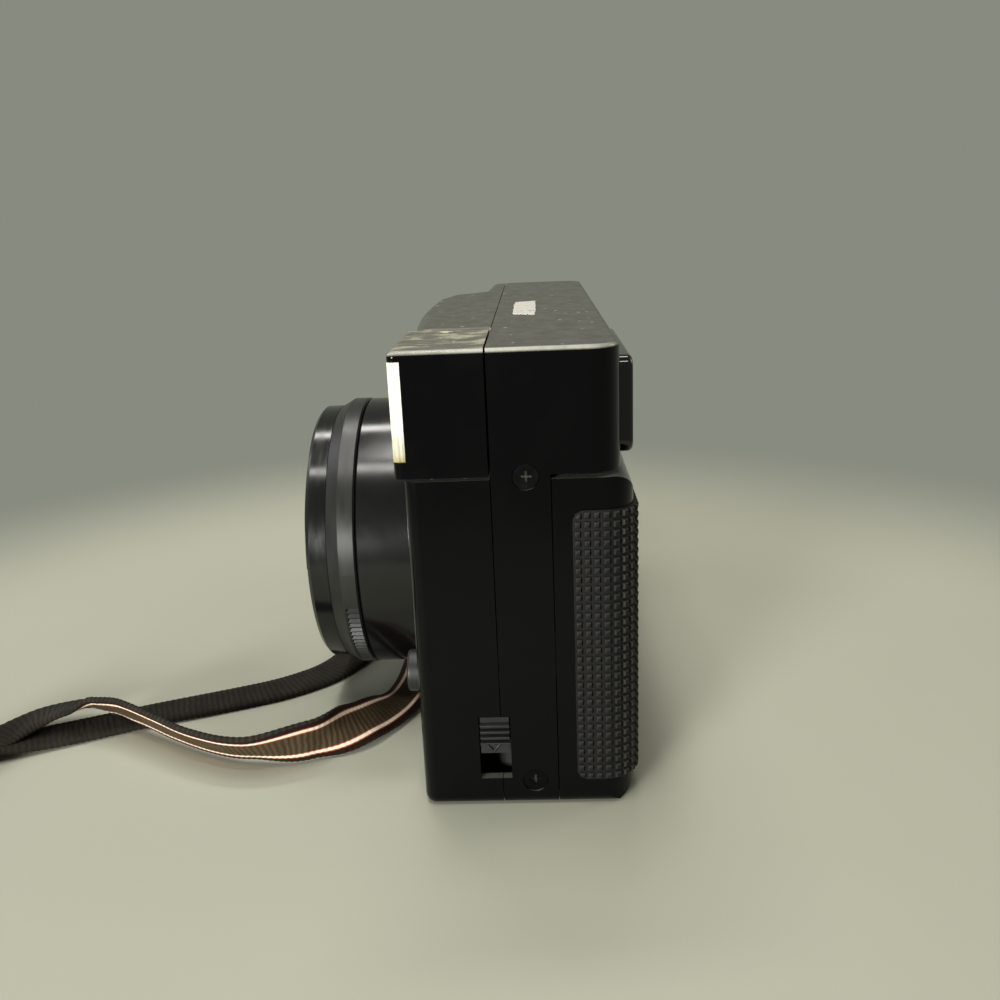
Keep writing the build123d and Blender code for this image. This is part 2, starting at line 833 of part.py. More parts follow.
# Shutter and lens carrier inside the barrel, down to the film gate
def shutter_block():
    bore = cell_r + running_gap
    shoulder_y = front_y + wall + barrel_flange + 0.5
    body = turned(
        [
            (bore, block_front_y),
            (block_r, block_front_y),
            (block_r, shoulder_y),
            (block_rear_r, shoulder_y),
            (block_rear_r, block_rear_y),
            (rear_glass_r, block_rear_y),
            (rear_glass_r, block_rear_y - rear_glass_thickness),
            (aperture_r, block_rear_y - rear_glass_thickness - 0.5),
            (aperture_r, cell_rear_y + 2.2),
            (bore, cell_rear_y + 1.0),
        ]
    )
    return body


def rear_glass():
    front = block_rear_y - rear_glass_thickness
    return rodY(0, lens_z, rear_glass_r - running_gap, front, block_rear_y)


# Panel that closes the head's opening: it follows the bulge, just under the surface
def panel_skin():
    skin = prism(head_plan(panel_sink), panel_low_z - 2, panel_high_z + 2)
    return skin - prism(head_plan(panel_sink + panel_thickness), panel_low_z - 3, panel_high_z + 3)


def finder_opening(clearance):
    half = finder_front_width / 2 - finder_wall - clearance
    rise = finder_front_height / 2 - finder_wall - clearance
    x = (finder_x - half, finder_x + half)
    return prismY(rectangle(x, (finder_z - rise, finder_z + rise), 0.6), grip_y - 2, head_near_y + 4)


def window_panel():
    clear = rectangle(
        (panel_far_x + fit_gap, panel_near_x - fit_gap),
        (panel_low_z + fit_gap, panel_high_z - fit_gap),
        panel_corner_r - fit_gap,
    )
    panel = panel_skin() & prismY(clear, grip_y - 2, head_near_y + 4)
    panel -= finder_opening(0)
    for x in (af_near_x, af_far_x):
        panel -= rodY(x, finder_z, af_r + running_gap, grip_y - 2, head_near_y + 4)
    return panel


def finder_window():
    return panel_skin() & finder_opening(running_gap)


def af_windows():
    skin = panel_skin()
    return [
        skin & rodY(x, finder_z, af_r, grip_y - 2, head_near_y + 4) for x in (af_near_x, af_far_x)
    ]


# Room right behind the window panel, whose front follows the panel's back
def behind_panel():
    return prism(head_plan(panel_sink + panel_thickness + running_gap), panel_low_z, panel_high_z)


# Autofocus emitter and receiver, each a short square box behind its window
def af_module():
    reach = af_r + 0.4
    z = (finder_z - reach, finder_z + reach)
    room = behind_panel()
    return [
        room & block((x - reach, x + reach), (head_bulge_y, head_near_y + af_depth), z)
        for x in (af_near_x, af_far_x)
    ]


# Tapered finder tunnel from the window panel to the eyepiece
def finder_tube():
    front = head_near_y + 0.5
    back = cover_back_y - wall - 0.05

    def tunnel(shrink, extra):
        sizes = (
            (front - extra, finder_front_width, finder_front_height),
            (back + extra, finder_rear_width, finder_rear_height),
        )
        sections = []
        for y, width, rise in sizes:
            plane = Plane(origin=(finder_x, y, finder_z), x_dir=(1, 0, 0), z_dir=(0, -1, 0))
            sections.append(plane * Rectangle(width - 2 * shrink, rise - 2 * shrink))
        return loft(sections)

    rear = block(
        (panel_far_x, panel_near_x),
        (head_near_y + 3, cover_back_y),
        (panel_low_z - 1, panel_high_z),
    )
    return (tunnel(0, 0) - tunnel(finder_wall, 0.01)) & (behind_panel() + rear)


# Outline of the eyepiece bezel, or of the spigot inside it
def bezel_outline(inset):
    return rectangle(
        (bezel_far_x + inset, bezel_near_x - inset),
        (bezel_low_z + inset, bezel_high_z - inset),
        min(bezel_corner_r, 0.45 * (bezel_high_z - bezel_low_z - 2 * inset)),
    )


def eyepiece_opening(clearance):
    half = finder_rear_width / 2 - clearance
    rise = finder_rear_height / 2 - clearance
    return rectangle((finder_x - half, finder_x + half), (finder_z - rise, finder_z + rise), 1.0)


def eyepiece_bezel():
    plate = prismY(bezel_outline(0), cover_back_y, cover_back_y + bezel_thickness)
    plate = fillet(plate.faces().sort_by(Axis.Y)[-1].outer_wire().edges(), bezel_edge_r)
    plate += prismY(bezel_outline(bezel_spigot_inset), cover_back_y - wall, cover_back_y + 0.1)
    plate -= prismY(eyepiece_opening(0), cover_back_y - wall - 1, cover_back_y + bezel_thickness + 1)
    lamp_back = cover_back_y + bezel_thickness + 1
    plate -= rodY(lamp_x, finder_z, lamp_r + running_gap, cover_back_y - wall - 1, lamp_back)
    return plate


def eyepiece_lens():
    return prismY(eyepiece_opening(running_gap), cover_back_y - wall, cover_back_y + bezel_thickness - 1.0)


def ready_lamp():
    top = cover_back_y + bezel_thickness + 0.2
    lamp = rodY(lamp_x, finder_z, lamp_r, cover_back_y - wall - 1.5, top)
    return fillet(lamp.edges().sort_by(Axis.Y)[-1], 0.8)


# Main circuit board with its larger chips
def circuit_board():
    board = block(
        (board_far_x, board_near_x), (seam_front_y + 2, cover_back_y - wall - 0.6), (board_z, board_top_z)
    )
    top = board_top_z
    chips = (
        (-14.0, 3.0, 12.0, 9.0, 1.8),
        (0.0, 7.0, 9.0, 9.0, 2.4),
        (-65.0, 4.0, 6.0, 8.0, 3.5),
    )
    for x, y, width, depth, rise in chips:
        board += block(
            (x - width / 2, x + width / 2),
            (y - depth / 2, y + depth / 2),
            (top - 0.05, top + rise),
        )
    return board


def flash_capacitor():
    z = board_top_z + capacitor_r + running_gap
    half = capacitor_length / 2
    can = rodX(capacitor_y, z, capacitor_r, capacitor_x - half, capacitor_x + half)
    return fillet(can.edges().sort_by(Axis.X)[-1], 0.8)


# Motor inside the take-up spool, standing on the chassis
def motor():
    body = rodZ(spool_x, spool_y, motor_r, spool_low_z, motor_high_z)
    return body + rodZ(spool_x, spool_y, 1.0, motor_high_z - 0.5, motor_high_z + 2.0)


def take_up_spool():
    low = spool_low_z + 0.4
    drum = rodZ(spool_x, spool_y, spool_r, low, spool_high_z - 0.4)
    drum -= rodZ(spool_x, spool_y, spool_bore_r, low - 1, motor_high_z + 2.5)
    for z in (lens_z - film_half, lens_z + film_half):
        drum += rodZ(spool_x, spool_y, spool_r + 0.6, z - 0.6, z + 0.6) - rodZ(
            spool_x, spool_y, spool_bore_r, z - 2, z + 2
        )
    slot = block(
        (spool_x + spool_bore_r - 1, spool_x + spool_r + 1),
        (spool_y - 0.8, spool_y + 0.8),
        (lens_z - 10, lens_z + 10),
    )
    for i in range(4):
        drum -= Pos(spool_x, spool_y, 0) * Rot(0, 0, 90 * i) * Pos(-spool_x, -spool_y, 0) * slot
    drum += rodZ(spool_x, spool_y, spool_shaft_r, spool_high_z - 1, gear_high_z)
    return drum + gear(spool_x, spool_y, spool_gear_teeth, gear_low_z, gear_high_z, gear_angle)


# Toothed shaft that meters the film
def sprocket():
    low, high = chassis_low_z + 1.0, gear_high_z
    body = rodZ(sprocket_x, sprocket_y, shaft_r, low, high)
    body += rodZ(
        sprocket_x, sprocket_y, sprocket_drum_r,
        lens_z - sprocket_wheel_z, lens_z + sprocket_wheel_z,
    )
    for side in (-1, 1):
        z = lens_z + side * sprocket_wheel_z
        half = sprocket_wheel_thickness / 2
        body += rodZ(sprocket_x, sprocket_y, sprocket_wheel_r, z - half, z + half)
        tooth = Pos(sprocket_wheel_r, 0, z) * Rot(0, 90, 0) * Cone(1.0, 0.5, 2 * sprocket_tooth)
        for i in range(sprocket_teeth):
            body += Pos(sprocket_x, sprocket_y, 0) * Rot(0, 0, i * 360 / sprocket_teeth + 8) * tooth
    facing = gear_angle + 180 + 180 / sprocket_gear_teeth * (sprocket_gear_teeth % 2)
    return body + gear(sprocket_x, sprocket_y, sprocket_gear_teeth, gear_low_z, gear_high_z, facing)


# Direction from the spool to the sprocket, in degrees, on which all three gears mesh
gear_angle = math.degrees(math.atan2(sprocket_y - spool_y, sprocket_x - spool_x))


def idler_gear():
    half_tooth = 180 / idler_gear_teeth
    wheel = gear(idler_x, idler_y, idler_gear_teeth, gear_low_z, gear_high_z, gear_angle + half_tooth)
    return wheel + rodZ(idler_x, idler_y, 1.0, cover_floor_z + 0.5, gear_low_z + 0.2)


# Fork that turns the cassette's spool
def rewind_fork():
    z = cassette_high_z - 0.3
    fork = rodZ(cassette_x, cassette_y, shaft_r, z - 0.5, gear_high_z)
    fork += rodZ(cassette_x, cassette_y, fork_r, z - 1.0, z)
    fork += block(
        (cassette_x - fork_r * 0.55, cassette_x + fork_r * 0.55),
        (cassette_y - fork_blade / 2, cassette_y + fork_blade / 2),
        (z - 1.0 - fork_drop, z - 0.5),
    )
    return fork + gear(cassette_x, cassette_y, fork_gear_teeth, gear_low_z, gear_high_z)


def battery_cells():
    cells = []
    high = cell_aa_z + cell_aa_length
    for x in (cell_near_x, cell_far_x):
        can = rodZ(x, cell_aa_y, cell_aa_r, cell_aa_z, high)
        cells.append(can + rodZ(x, cell_aa_y, cell_button_r, high - 0.1, high + cell_button))
    return cells


# Upper contacts, one over each cell, under the shell's ceiling
def battery_contacts():
    z = (contact_top_z - contact_thickness, contact_top_z)
    half_x, half_y = contact_width / 2, contact_depth / 2
    return [
        block((x - half_x, x + half_x), (cell_aa_y - half_y, cell_aa_y + half_y), z)
        for x in (cell_near_x, cell_far_x)
    ]


# Battery door hinged at its near edge, with a barrel between the shell's ears
def battery_door():
    far = cell_far_x - cell_aa_r
    door = block(
        (far, battery_hinge_x), (battery_door_front_y, seam_front_y - seam_gap), (0, wall)
    )
    (_, front_ear), (rear_ear, _) = battery_ears()
    barrel = rodY(battery_hinge_x, battery_hinge_z, battery_hinge_r, front_ear + 0.2, rear_ear - 0.2)
    for low, high in battery_ears():
        far = battery_hinge_x - 2.4 * battery_hinge_r
        door -= block((far, near_x), (low - 0.5, high + 0.2), (-1, wall + 1))
    door += barrel
    door = door & silhouette()
    return door - rodY(battery_hinge_x, battery_hinge_z, battery_pin_r + running_gap, grip_y, seam_front_y)


def battery_pin():
    return rodY(battery_hinge_x, battery_hinge_z, battery_pin_r, battery_door_front_y, seam_front_y - 0.35)


# Bridge contact on the inside of the battery door
def battery_bridge():
    half = bridge_depth / 2
    plate = block(
        (cell_far_x - bridge_overhang, cell_near_x + bridge_overhang),
        (cell_aa_y - half, cell_aa_y + half),
        (wall, wall + contact_thickness),
    )
    for x in (cell_near_x, cell_far_x):
        plate += rodZ(x, cell_aa_y, bridge_post_r, wall + 0.1, cell_aa_z - 0.1)
    return plate


def shutter_button():
    top = deck_z + button_rise
    body = rodZ(button_x, button_y, button_r, deck_z - wall - 0.5, top)
    body = fillet(body.edges().sort_by(Axis.Z)[-1], 0.6)
    body -= Pos(button_x, button_y, top + 11.6) * Sphere(12.0)
    body += rodZ(button_x, button_y, button_r + 0.7, deck_z - wall - 1.2, deck_z - wall - 0.1)
    return body + rodZ(button_x, button_y, button_stem_r, deck_z - wall - 6.0, deck_z - wall - 1.0)


def shutter_collar():
    ring = rodZ(button_x, button_y, collar_r, deck_z - wall / 2, deck_z + collar_rise)
    ring = fillet(ring.edges().sort_by(Axis.Z)[-1], 0.4)
    return ring - rodZ(button_x, button_y, button_bore_r, deck_z - wall, deck_z + collar_rise + 1)


def counter_window():
    half_x = counter_width / 2 - running_gap
    half_y = counter_depth / 2 - running_gap
    return block(
        (counter_x - half_x, counter_x + half_x),
        (counter_y - half_y, counter_y + half_y),
        (deck_z - wall, deck_z - 0.1),
    )


# Frame dial turning under the deck, with one notch for each frame mark
def counter_dial():
    x, y = counter_x, counter_y + dial_offset_y
    dial = rodZ(x, y, dial_r, dial_high_z - dial_thickness, dial_high_z)
    for i in range(20):
        notch = Pos(dial_r, 0, dial_high_z - dial_thickness / 2) * Box(0.5, 0.3, 2 * dial_thickness)
        dial -= Pos(x, y, 0) * Rot(0, 0, 18 * i) * notch
    return dial + rodZ(x, y, 0.6, dial_high_z - 0.1, deck_z - wall + 0.7)


# Push key on the front that frees the flash
def flash_key():
    front = front_y - flash_key_rise
    key = rodY(flash_key_x, flash_key_z, flash_key_r, front, front_y + wall + 0.5)
    key = fillet(key.edges().sort_by(Axis.Y)[0], 0.5)
    flange_front = front_y + wall + 0.05
    return key + rodY(flash_key_x, flash_key_z, flash_key_r + 0.8, flange_front, front_y + wall + 1.0)


# Flash head: window slot, reflector room and the stem that slides through the shelf
def flash_housing():
    body = block((flash_far_x, near_x), (flash_front_y, flash_rear_y), (flash_low_z, height)) & silhouette()
    body = fillet(
        body.edges()
        .filter_by(Axis.X)
        .filter_by(lambda e: e.center().Y < flash_front_y + 0.5 and e.center().Z > height - 0.5),
        1.2,
    )
    window_back = flash_front_y + flash_window_thickness
    body -= block(
        (flash_far_x + 0.8, near_x + 1),
        (flash_front_y - 1, window_back),
        (flash_window_low_z, flash_window_high_z),
    )
    body -= block(
        (flash_far_x + flash_wall, near_x - flash_wall),
        (window_back - 0.5, reflector_back_y + 0.3),
        (flash_window_low_z + 1, flash_window_high_z - 1),
    )
    stem = block(
        (flash_stem_far_x, flash_stem_near_x),
        (flash_stem_front_y, stem_rear_y),
        (flash_stem_low_z, flash_low_z + 0.1),
    )
    return body + stem


# Frosted window that wraps to the near side
def flash_window():
    pane = block(
        (flash_far_x + 0.8 + fit_gap, near_x - 0.05),
        (flash_front_y + 0.05, flash_front_y + flash_window_thickness - 0.05),
        (flash_window_low_z + fit_gap, flash_window_high_z - fit_gap),
    )
    return fillet(pane.edges().filter_by(Axis.Z).sort_by(lambda e: e.center().X - e.center().Y)[-1], 0.6)


# Curved trough behind the window, open to the front
def flash_reflector():
    front, back = reflector_back_y - reflector_depth, reflector_back_y
    middle = (flash_window_low_z + flash_window_high_z) / 2
    half = (flash_window_high_z - flash_window_low_z) / 2 - 1.2
    t = reflector_thickness
    plane = Plane(origin=(flash_far_x + flash_wall + 0.3, 0, 0), x_dir=(0, 1, 0), z_dir=(1, 0, 0))
    section = make_face(
        [
            ThreePointArc((front, middle - half), (back, middle), (front, middle + half)),
            Line((front, middle + half), (front, middle + half - t)),
            ThreePointArc((front, middle + half - t), (back - t, middle), (front, middle - half + t)),
            Line((front, middle - half + t), (front, middle - half)),
        ]
    )
    length = near_x - flash_wall - 0.3 - (flash_far_x + flash_wall + 0.3)
    return extrude(plane * section, amount=length)


def flash_tube():
    middle = (flash_window_low_z + flash_window_high_z) / 2
    y = reflector_back_y - reflector_thickness - 0.4 - flash_tube_r
    return rodX(y, middle, flash_tube_r, flash_far_x + flash_wall + 0.1, near_x - flash_wall - 0.1)


# Plan of the rear door, from its seam back
def door_plan(inset=0.0):
    return [
        (far_x + inset, seam_rear_y + seam_gap - (1 if inset else 0), 0),
        (near_x - inset, seam_rear_y + seam_gap - (1 if inset else 0), 0),
        (near_x - inset, door_back_y - inset, rear_corner_r - inset),
        (far_x + inset, door_back_y - inset, rear_corner_r - inset),
    ]


def door_profile(inset=0.0):
    corners = [
        (seam_rear_y - 2, inset, 0),
        (door_back_y - inset, inset, door_heel_r - inset),
        (door_back_y - inset, door_top_z - inset, door_shoulder_r - inset),
        (seam_rear_y - 2, door_top_z - inset, 0),
    ]
    return prismX(corners, far_x - 1, near_x + 1)


def rear_door():
    door = prism(door_plan(), 0, door_top_z) & door_profile() & silhouette()
    room = prism(door_plan(door_wall), door_wall, door_top_z - door_wall) & door_profile(door_wall)
    door -= room
    lug_top = door_top_z - hinge_low_z
    hinge_room = block(
        (far_x - 1, hinge_x + hinge_r + 0.4), (seam_rear_y - 1, hinge_y + hinge_r + 0.2), (-1, height)
    )
    door -= hinge_room
    barrel_z = (hinge_low_z + hinge_lug + 0.2, lug_top - hinge_lug - 0.2)
    door += rodZ(hinge_x, hinge_y, hinge_r, *barrel_z)
    door += block((hinge_x - hinge_r / 2, hinge_x + hinge_r), (hinge_y, hinge_y + hinge_r + 0.6), barrel_z)
    door -= rodZ(hinge_x, hinge_y, hinge_pin_r + running_gap, -1, height)
    door -= block(
        (door_recess_far_x, door_recess_near_x),
        (seam_rear_y - 1, spool_y + shaft_r + door_recess_gap),
        (door_top_z - door_wall - 1, door_top_z + 1),
    )
    bar_high = latch_bar_high_z
    tongue = block((latch_bar_x, latch_bar_x + 0.7), (0.6, seam_rear_y + 3.0), (bar_high - 7, bar_high))
    tongue -= block((0, near_x), (1.6, 3.0), (bar_high - 5.4, bar_high - 3.4))
    root = block(
        (latch_bar_x, near_x - door_wall + 0.1),
        (seam_rear_y + 0.6, seam_rear_y + 3.0),
        (bar_high - 7, bar_high),
    )
    return door + tongue + root


def hinge_pin():
    return rodZ(hinge_x, hinge_y, hinge_pin_r, hinge_low_z, door_top_z - hinge_low_z)


# Rubber pad that wraps the rear near corner of the door
def grip_pad():
    outer = door_plan(-pad_rise)
    inner = door_plan()
    sheet = prism(outer, pad_low_z, pad_high_z) - prism(inner, pad_low_z - 1, pad_high_z + 1)
    zone = block((pad_end_x, near_x + 5), (pad_start_y, door_back_y + 5), (pad_low_z, pad_high_z))
    from_side = prismX(
        [
            (pad_start_y, pad_low_z, pad_corner_r),
            (door_back_y + 20, pad_low_z, 0),
            (door_back_y + 20, pad_high_z, 0),
            (pad_start_y, pad_high_z, pad_corner_r),
        ],
        0,
        near_x + 5,
    )
    from_back = prismY(
        [
            (pad_end_x, pad_low_z, pad_corner_r),
            (near_x + 20, pad_low_z, 0),
            (near_x + 20, pad_high_z, 0),
            (pad_end_x, pad_high_z, pad_corner_r),
        ],
        0,
        door_back_y + 5,
    )
    return sheet & zone & from_side & from_back


# Matching pad on the front of the hand grip
def front_pad():
    pad = rectangle((grip_pad_far_x, grip_pad_near_x), (grip_pad_low_z, grip_pad_high_z), pad_corner_r)
    return prismY(pad, grip_y - pad_rise, grip_y)


def pressure_plate():
    z = (lens_z - film_half - 0.2, lens_z + film_half + 0.2)
    plate = block((plate_far_x, plate_near_x), (plate_front_y, plate_back_y), z)
    ends = plate.edges().filter_by(Axis.Z)
    ends = ends.filter_by_position(Axis.Y, plate_front_y - 0.01, plate_front_y + 0.01)
    return fillet(ends, plate_thickness / 2)


# Bowed leaf that pushes the plate towards the film
def plate_spring():
    half, t = leaf_span / 2, leaf_thickness
    back, front = door_inner_y - 0.05, plate_back_y + 0.05
    section = make_face(
        [
            ThreePointArc((-half, back), (0, front), (half, back)),
            Line((half, back), (half - 0.6, back)),
            ThreePointArc((half - 0.6, back), (0, front + t), (-half + 0.6, back)),
            Line((-half + 0.6, back), (-half, back)),
        ]
    )
    return extrude(Pos(0, 0, lens_z - leaf_width / 2) * section, amount=leaf_width)


# Foam strip at the hinge end of the door
def light_seal():
    z = (spool_low_z + seal_inset, spool_high_z - seal_inset)
    x = (far_x + seal_place, far_x + seal_place + seal_width)
    return block(x, (door_inner_y - seal_thickness, door_inner_y - 0.02), z)


# Ribbed slide in the near side that frees the door, with its inner bar
def latch_slide():
    y = (latch_window_front_y + latch_gap, latch_window_rear_y - latch_gap)
    face_x = near_x - 0.3
    knob = block((latch_bar_x + latch_bar_thickness, face_x), y, (knob_low_z, knob_high_z))
    for i in range(latch_ribs):
        z = knob_high_z - latch_rib_drop - i * latch_rib_pitch
        rib = [(face_x - 0.1, z - 0.35, 0), (face_x + latch_proud + 0.3, z, 0.1), (face_x - 0.1, z + 0.35, 0)]
        knob += prismY(rib, *y)
    bar_x = (latch_bar_x, latch_bar_x + latch_bar_thickness)
    bar_y = (latch_window_front_y + 1.0, latch_window_rear_y - 1.4)
    knob += block(bar_x, bar_y, (latch_window_low_z + latch_travel + 0.2, latch_bar_high_z))
    return knob + block(bar_x, (bar_y[0], 0.1), (latch_bar_high_z - 2.0, latch_bar_high_z))


# Recessed slide in the base that starts the rewind
def rewind_switch():
    knob_x = (rewind_x, rewind_x + rewind_length - rewind_travel)
    knob = block(knob_x, (-rewind_width / 2, rewind_width / 2), (0.3, wall + 0.2))
    for i in range(3):
        x = knob_x[0] + 1.2 + 1.5 * i
        knob -= block((x - 0.3, x + 0.3), (-rewind_width, rewind_width), (0, 0.7))
    flange = block(
        (rewind_x - 1.4, knob_x[1] + 1.4),
        (-rewind_width / 2 - 1, rewind_width / 2 + 1),
        (wall + 0.1, wall + 0.9),
    )
    return knob + flange


def tripod_bush():
    bush = rodZ(0, 0, bush_r, 0, bush_height)
    bush += rodZ(0, 0, bush_r + 0.9, wall, chassis_low_z)
    return bush - rodZ(0, 0, bush_thread_r, -1, bush_depth)


def side_screws():
    face = near_x - screw_sink
    heights = (side_screw_low_z, side_screw_high_z)
    return [Pos(face, side_screw_y, z) * Rot(0, -90, 0) * screw() for z in heights]


def bottom_screws():
    return [Pos(x, 0, screw_sink) * screw() for x in (-bottom_screw_x, bottom_screw_x)]


# Side lug: a plate, two ears and the bar that the strap's keeper hangs on
def strap_lug():
    half = lug_length / 2
    plate = prismX(
        [
            (lug_y - half, lug_z - 3.5, 1.2),
            (lug_y + half, lug_z - 3.5, 1.2),
            (lug_y + half, lug_z + 3.5, 1.2),
            (lug_y - half, lug_z + 3.5, 1.2),
        ],
        far_x - 0.9,
        far_x,
    )
    for y in (lug_y - half, lug_y + half - 1.0):
        ear = prismY(
            [
                (far_x - 0.5, lug_z - 1.6, 0),
                (far_x - 0.5, lug_z + 1.6, 0),
                (lug_bar_x - 1.2, lug_z + 1.2, 1.1),
                (lug_bar_x - 1.2, lug_z - 1.2, 1.1),
            ],
            y,
            y + 1.0,
        )
        plate += ear
    return plate + rodY(lug_bar_x, lug_z, lug_bar_r, lug_y - half + 0.5, lug_y + half - 0.5)


# Stitched keeper that folds over the lug's bar and holds both ends of the strap
def strap_keeper():
    half = keeper_length / 2
    body = prismY(
        rectangle(
            (lug_bar_x - keeper_thickness / 2, lug_bar_x + keeper_thickness / 2),
            (keeper_low_z, lug_z + keeper_thickness / 2),
            keeper_thickness / 2 - 0.2,
        ),
        lug_y - half,
        lug_y + half,
    )
    flat_end = block(
        (lug_bar_x - keeper_thickness / 2, lug_bar_x + keeper_thickness / 2),
        (lug_y - half, lug_y + half),
        (keeper_low_z, keeper_low_z + keeper_thickness / 2),
    )
    return body + flat_end - rodY(lug_bar_x, lug_z, lug_bar_r + 0.3, lug_y - 2 * half, lug_y + 2 * half)


# Route of the wrist strap: down from the keeper, along the base's front, out past the lens,
# round its far end and back over itself to the keeper
strap_route = [
    (-81.0, -13.2, 42.6),
    (-81.0, -14.6, 30.0),
    (-80.0, -19.5, 16.0),
    (-74.0, -28.5, 5.0),
    (-58.0, -36.5, 1.6),
    (-36.0, -38.6, 1.6),
    (-14.0, -37.6, 1.6),
    (1.5, -41.5, 1.6),
    (10.2, -51.3, 1.6),
    (15.0, -62.2, 1.6),
    (21.1, -77.5, 1.6),
    (27.5, -91.0, 1.6),
    (33.1, -102.2, 1.6),
    (38.0, -114.0, 1.6),
    (46.5, -121.5, 1.6),
    (56.0, -117.5, 1.6),
    (55.5, -107.5, 2.2),
    (46.0, -103.8, 4.0),
    (34.5, -106.2, 5.0),
    (25.0, -104.8, 3.4),
    (17.2, -99.6, 2.4),
    (15.4, -91.5, 3.4),
    (20.9, -82.5, 5.0),
    (27.0, -73.0, 3.2),
    (33.0, -63.0, 1.8),
    (37.5, -51.0, 1.6),
    (37.0, -38.5, 1.6),
    (28.5, -29.5, 1.6),
    (15.0, -24.6, 1.6),
    (-8.0, -23.6, 1.6),
    (-32.0, -24.6, 1.6),
    (-55.0, -26.9, 1.6),
    (-71.0, -25.5, 4.5),
    (-80.0, -18.0, 13.0),
    (-81.0, -10.6, 27.0),
    (-81.0, -8.8, 42.6),
]


# Largest arc that two runs allow at each inner corner of a route
def route_radii(points):
    radii = []
    for before, here, after in zip(points, points[1:], points[2:]):
        into = Vector(*here) - Vector(*before)
        out = Vector(*after) - Vector(*here)
        half_turn = math.radians(into.get_angle(out)) / 2
        radii.append(0.45 * min(into.length, out.length) / math.tan(half_turn))
    return radii


def wrist_strap():
    radii = route_radii(strap_route)
    print("strap radii", [round(r, 1) for r in radii])
    path = FilletPolyline(*strap_route, radius=radii)
    start = Plane(origin=strap_route[0], z_dir=path % 0)
    strap = sweep(start * Circle(strap_r), path=path)
    ratio = strap.volume / (math.pi * strap_r**2 * path.length)
    print("strap length", round(path.length, 1), "volume ratio", round(ratio, 4))
    return strap


def save(name, shape):
    solids = shape if isinstance(shape, list) else [shape]
    flat = [solid for piece in solids for solid in piece.solids()]
    export_step(flat[0] if len(flat) == 1 else Compound(children=flat), f"parts/{name}.step")


os.makedirs("parts", exist_ok=True)
pieces = {
    "front_shell": front_shell(),
    "rear_shell": rear_shell(),
    "chassis": chassis(),
    "lens_barrel": lens_barrel(),
    "film_speed_ring": film_speed_ring(),
    "front_ring": front_ring(),
    "lens_face": lens_face(),
    "metering_window": metering_window(),
    "lens_cell": lens_cell(),
    "front_glass": front_glass(),
    "shutter_block": shutter_block(),
    "rear_glass": rear_glass(),
    "window_panel": window_panel(),
    "finder_window": finder_window(),
    "af_windows": af_windows(),
    "af_module": af_module(),
    "finder_tube": finder_tube(),
    "eyepiece_bezel": eyepiece_bezel(),
    "eyepiece_lens": eyepiece_lens(),
    "ready_lamp": ready_lamp(),
    "circuit_board": circuit_board(),
    "flash_capacitor": flash_capacitor(),
    "motor": motor(),
    "take_up_spool": take_up_spool(),
    "sprocket": sprocket(),
    "idler_gear": idler_gear(),
    "rewind_fork": rewind_fork(),
    "battery_cells": battery_cells(),
    "battery_contacts": battery_contacts(),
    "battery_door": battery_door(),
    "battery_pin": battery_pin(),
    "battery_bridge": battery_bridge(),
    "shutter_button": shutter_button(),
    "shutter_collar": shutter_collar(),
    "counter_window": counter_window(),
    "counter_dial": counter_dial(),
    "flash_key": flash_key(),
    "flash_housing": flash_housing(),
    "flash_window": flash_window(),
    "flash_reflector": flash_reflector(),
    "flash_tube": flash_tube(),
    "rear_door": rear_door(),
    "hinge_pin": hinge_pin(),
    "grip_pad": grip_pad(),
    "front_pad": front_pad(),
    "pressure_plate": pressure_plate(),
    "plate_spring": plate_spring(),
    "light_seal": light_seal(),
    "latch_slide": latch_slide(),
    "rewind_switch": rewind_switch(),
    "tripod_bush": tripod_bush(),
    "side_screws": side_screws(),
    "bottom_screws": bottom_screws(),
    "strap_lug": strap_lug(),
    "strap_keeper": strap_keeper(),
    "wrist_strap": wrist_strap(),
}
for name, shape in pieces.items():
    save(name, shape)
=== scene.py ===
import math

import bmesh
import bpy
from mathutils import Matrix, Vector


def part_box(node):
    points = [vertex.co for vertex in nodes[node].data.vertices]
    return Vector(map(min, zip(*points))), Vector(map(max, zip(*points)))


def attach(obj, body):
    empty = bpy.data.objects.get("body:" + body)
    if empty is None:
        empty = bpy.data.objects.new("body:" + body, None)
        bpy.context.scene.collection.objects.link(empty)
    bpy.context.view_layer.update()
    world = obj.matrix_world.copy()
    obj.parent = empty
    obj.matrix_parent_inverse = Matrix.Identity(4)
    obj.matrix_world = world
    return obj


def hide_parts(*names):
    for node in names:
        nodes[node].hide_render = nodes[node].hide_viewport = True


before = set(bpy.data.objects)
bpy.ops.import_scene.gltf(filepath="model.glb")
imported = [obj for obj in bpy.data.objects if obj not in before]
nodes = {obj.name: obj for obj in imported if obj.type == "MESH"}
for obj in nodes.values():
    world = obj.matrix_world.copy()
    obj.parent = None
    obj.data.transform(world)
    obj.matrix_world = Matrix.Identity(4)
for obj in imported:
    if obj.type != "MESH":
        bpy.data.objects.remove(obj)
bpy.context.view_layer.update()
print("frame loaded:", len(nodes), "nodes")


# Small helpers

# sRGB hex to the linear colour that the shaders read
def linear(text):
    values = [int(text[i:i + 2], 16) / 255 for i in (1, 3, 5)]
    return tuple(v / 12.92 if v <= 0.04045 else ((v + 0.055) / 1.055) ** 2.4 for v in values) + (1.0,)


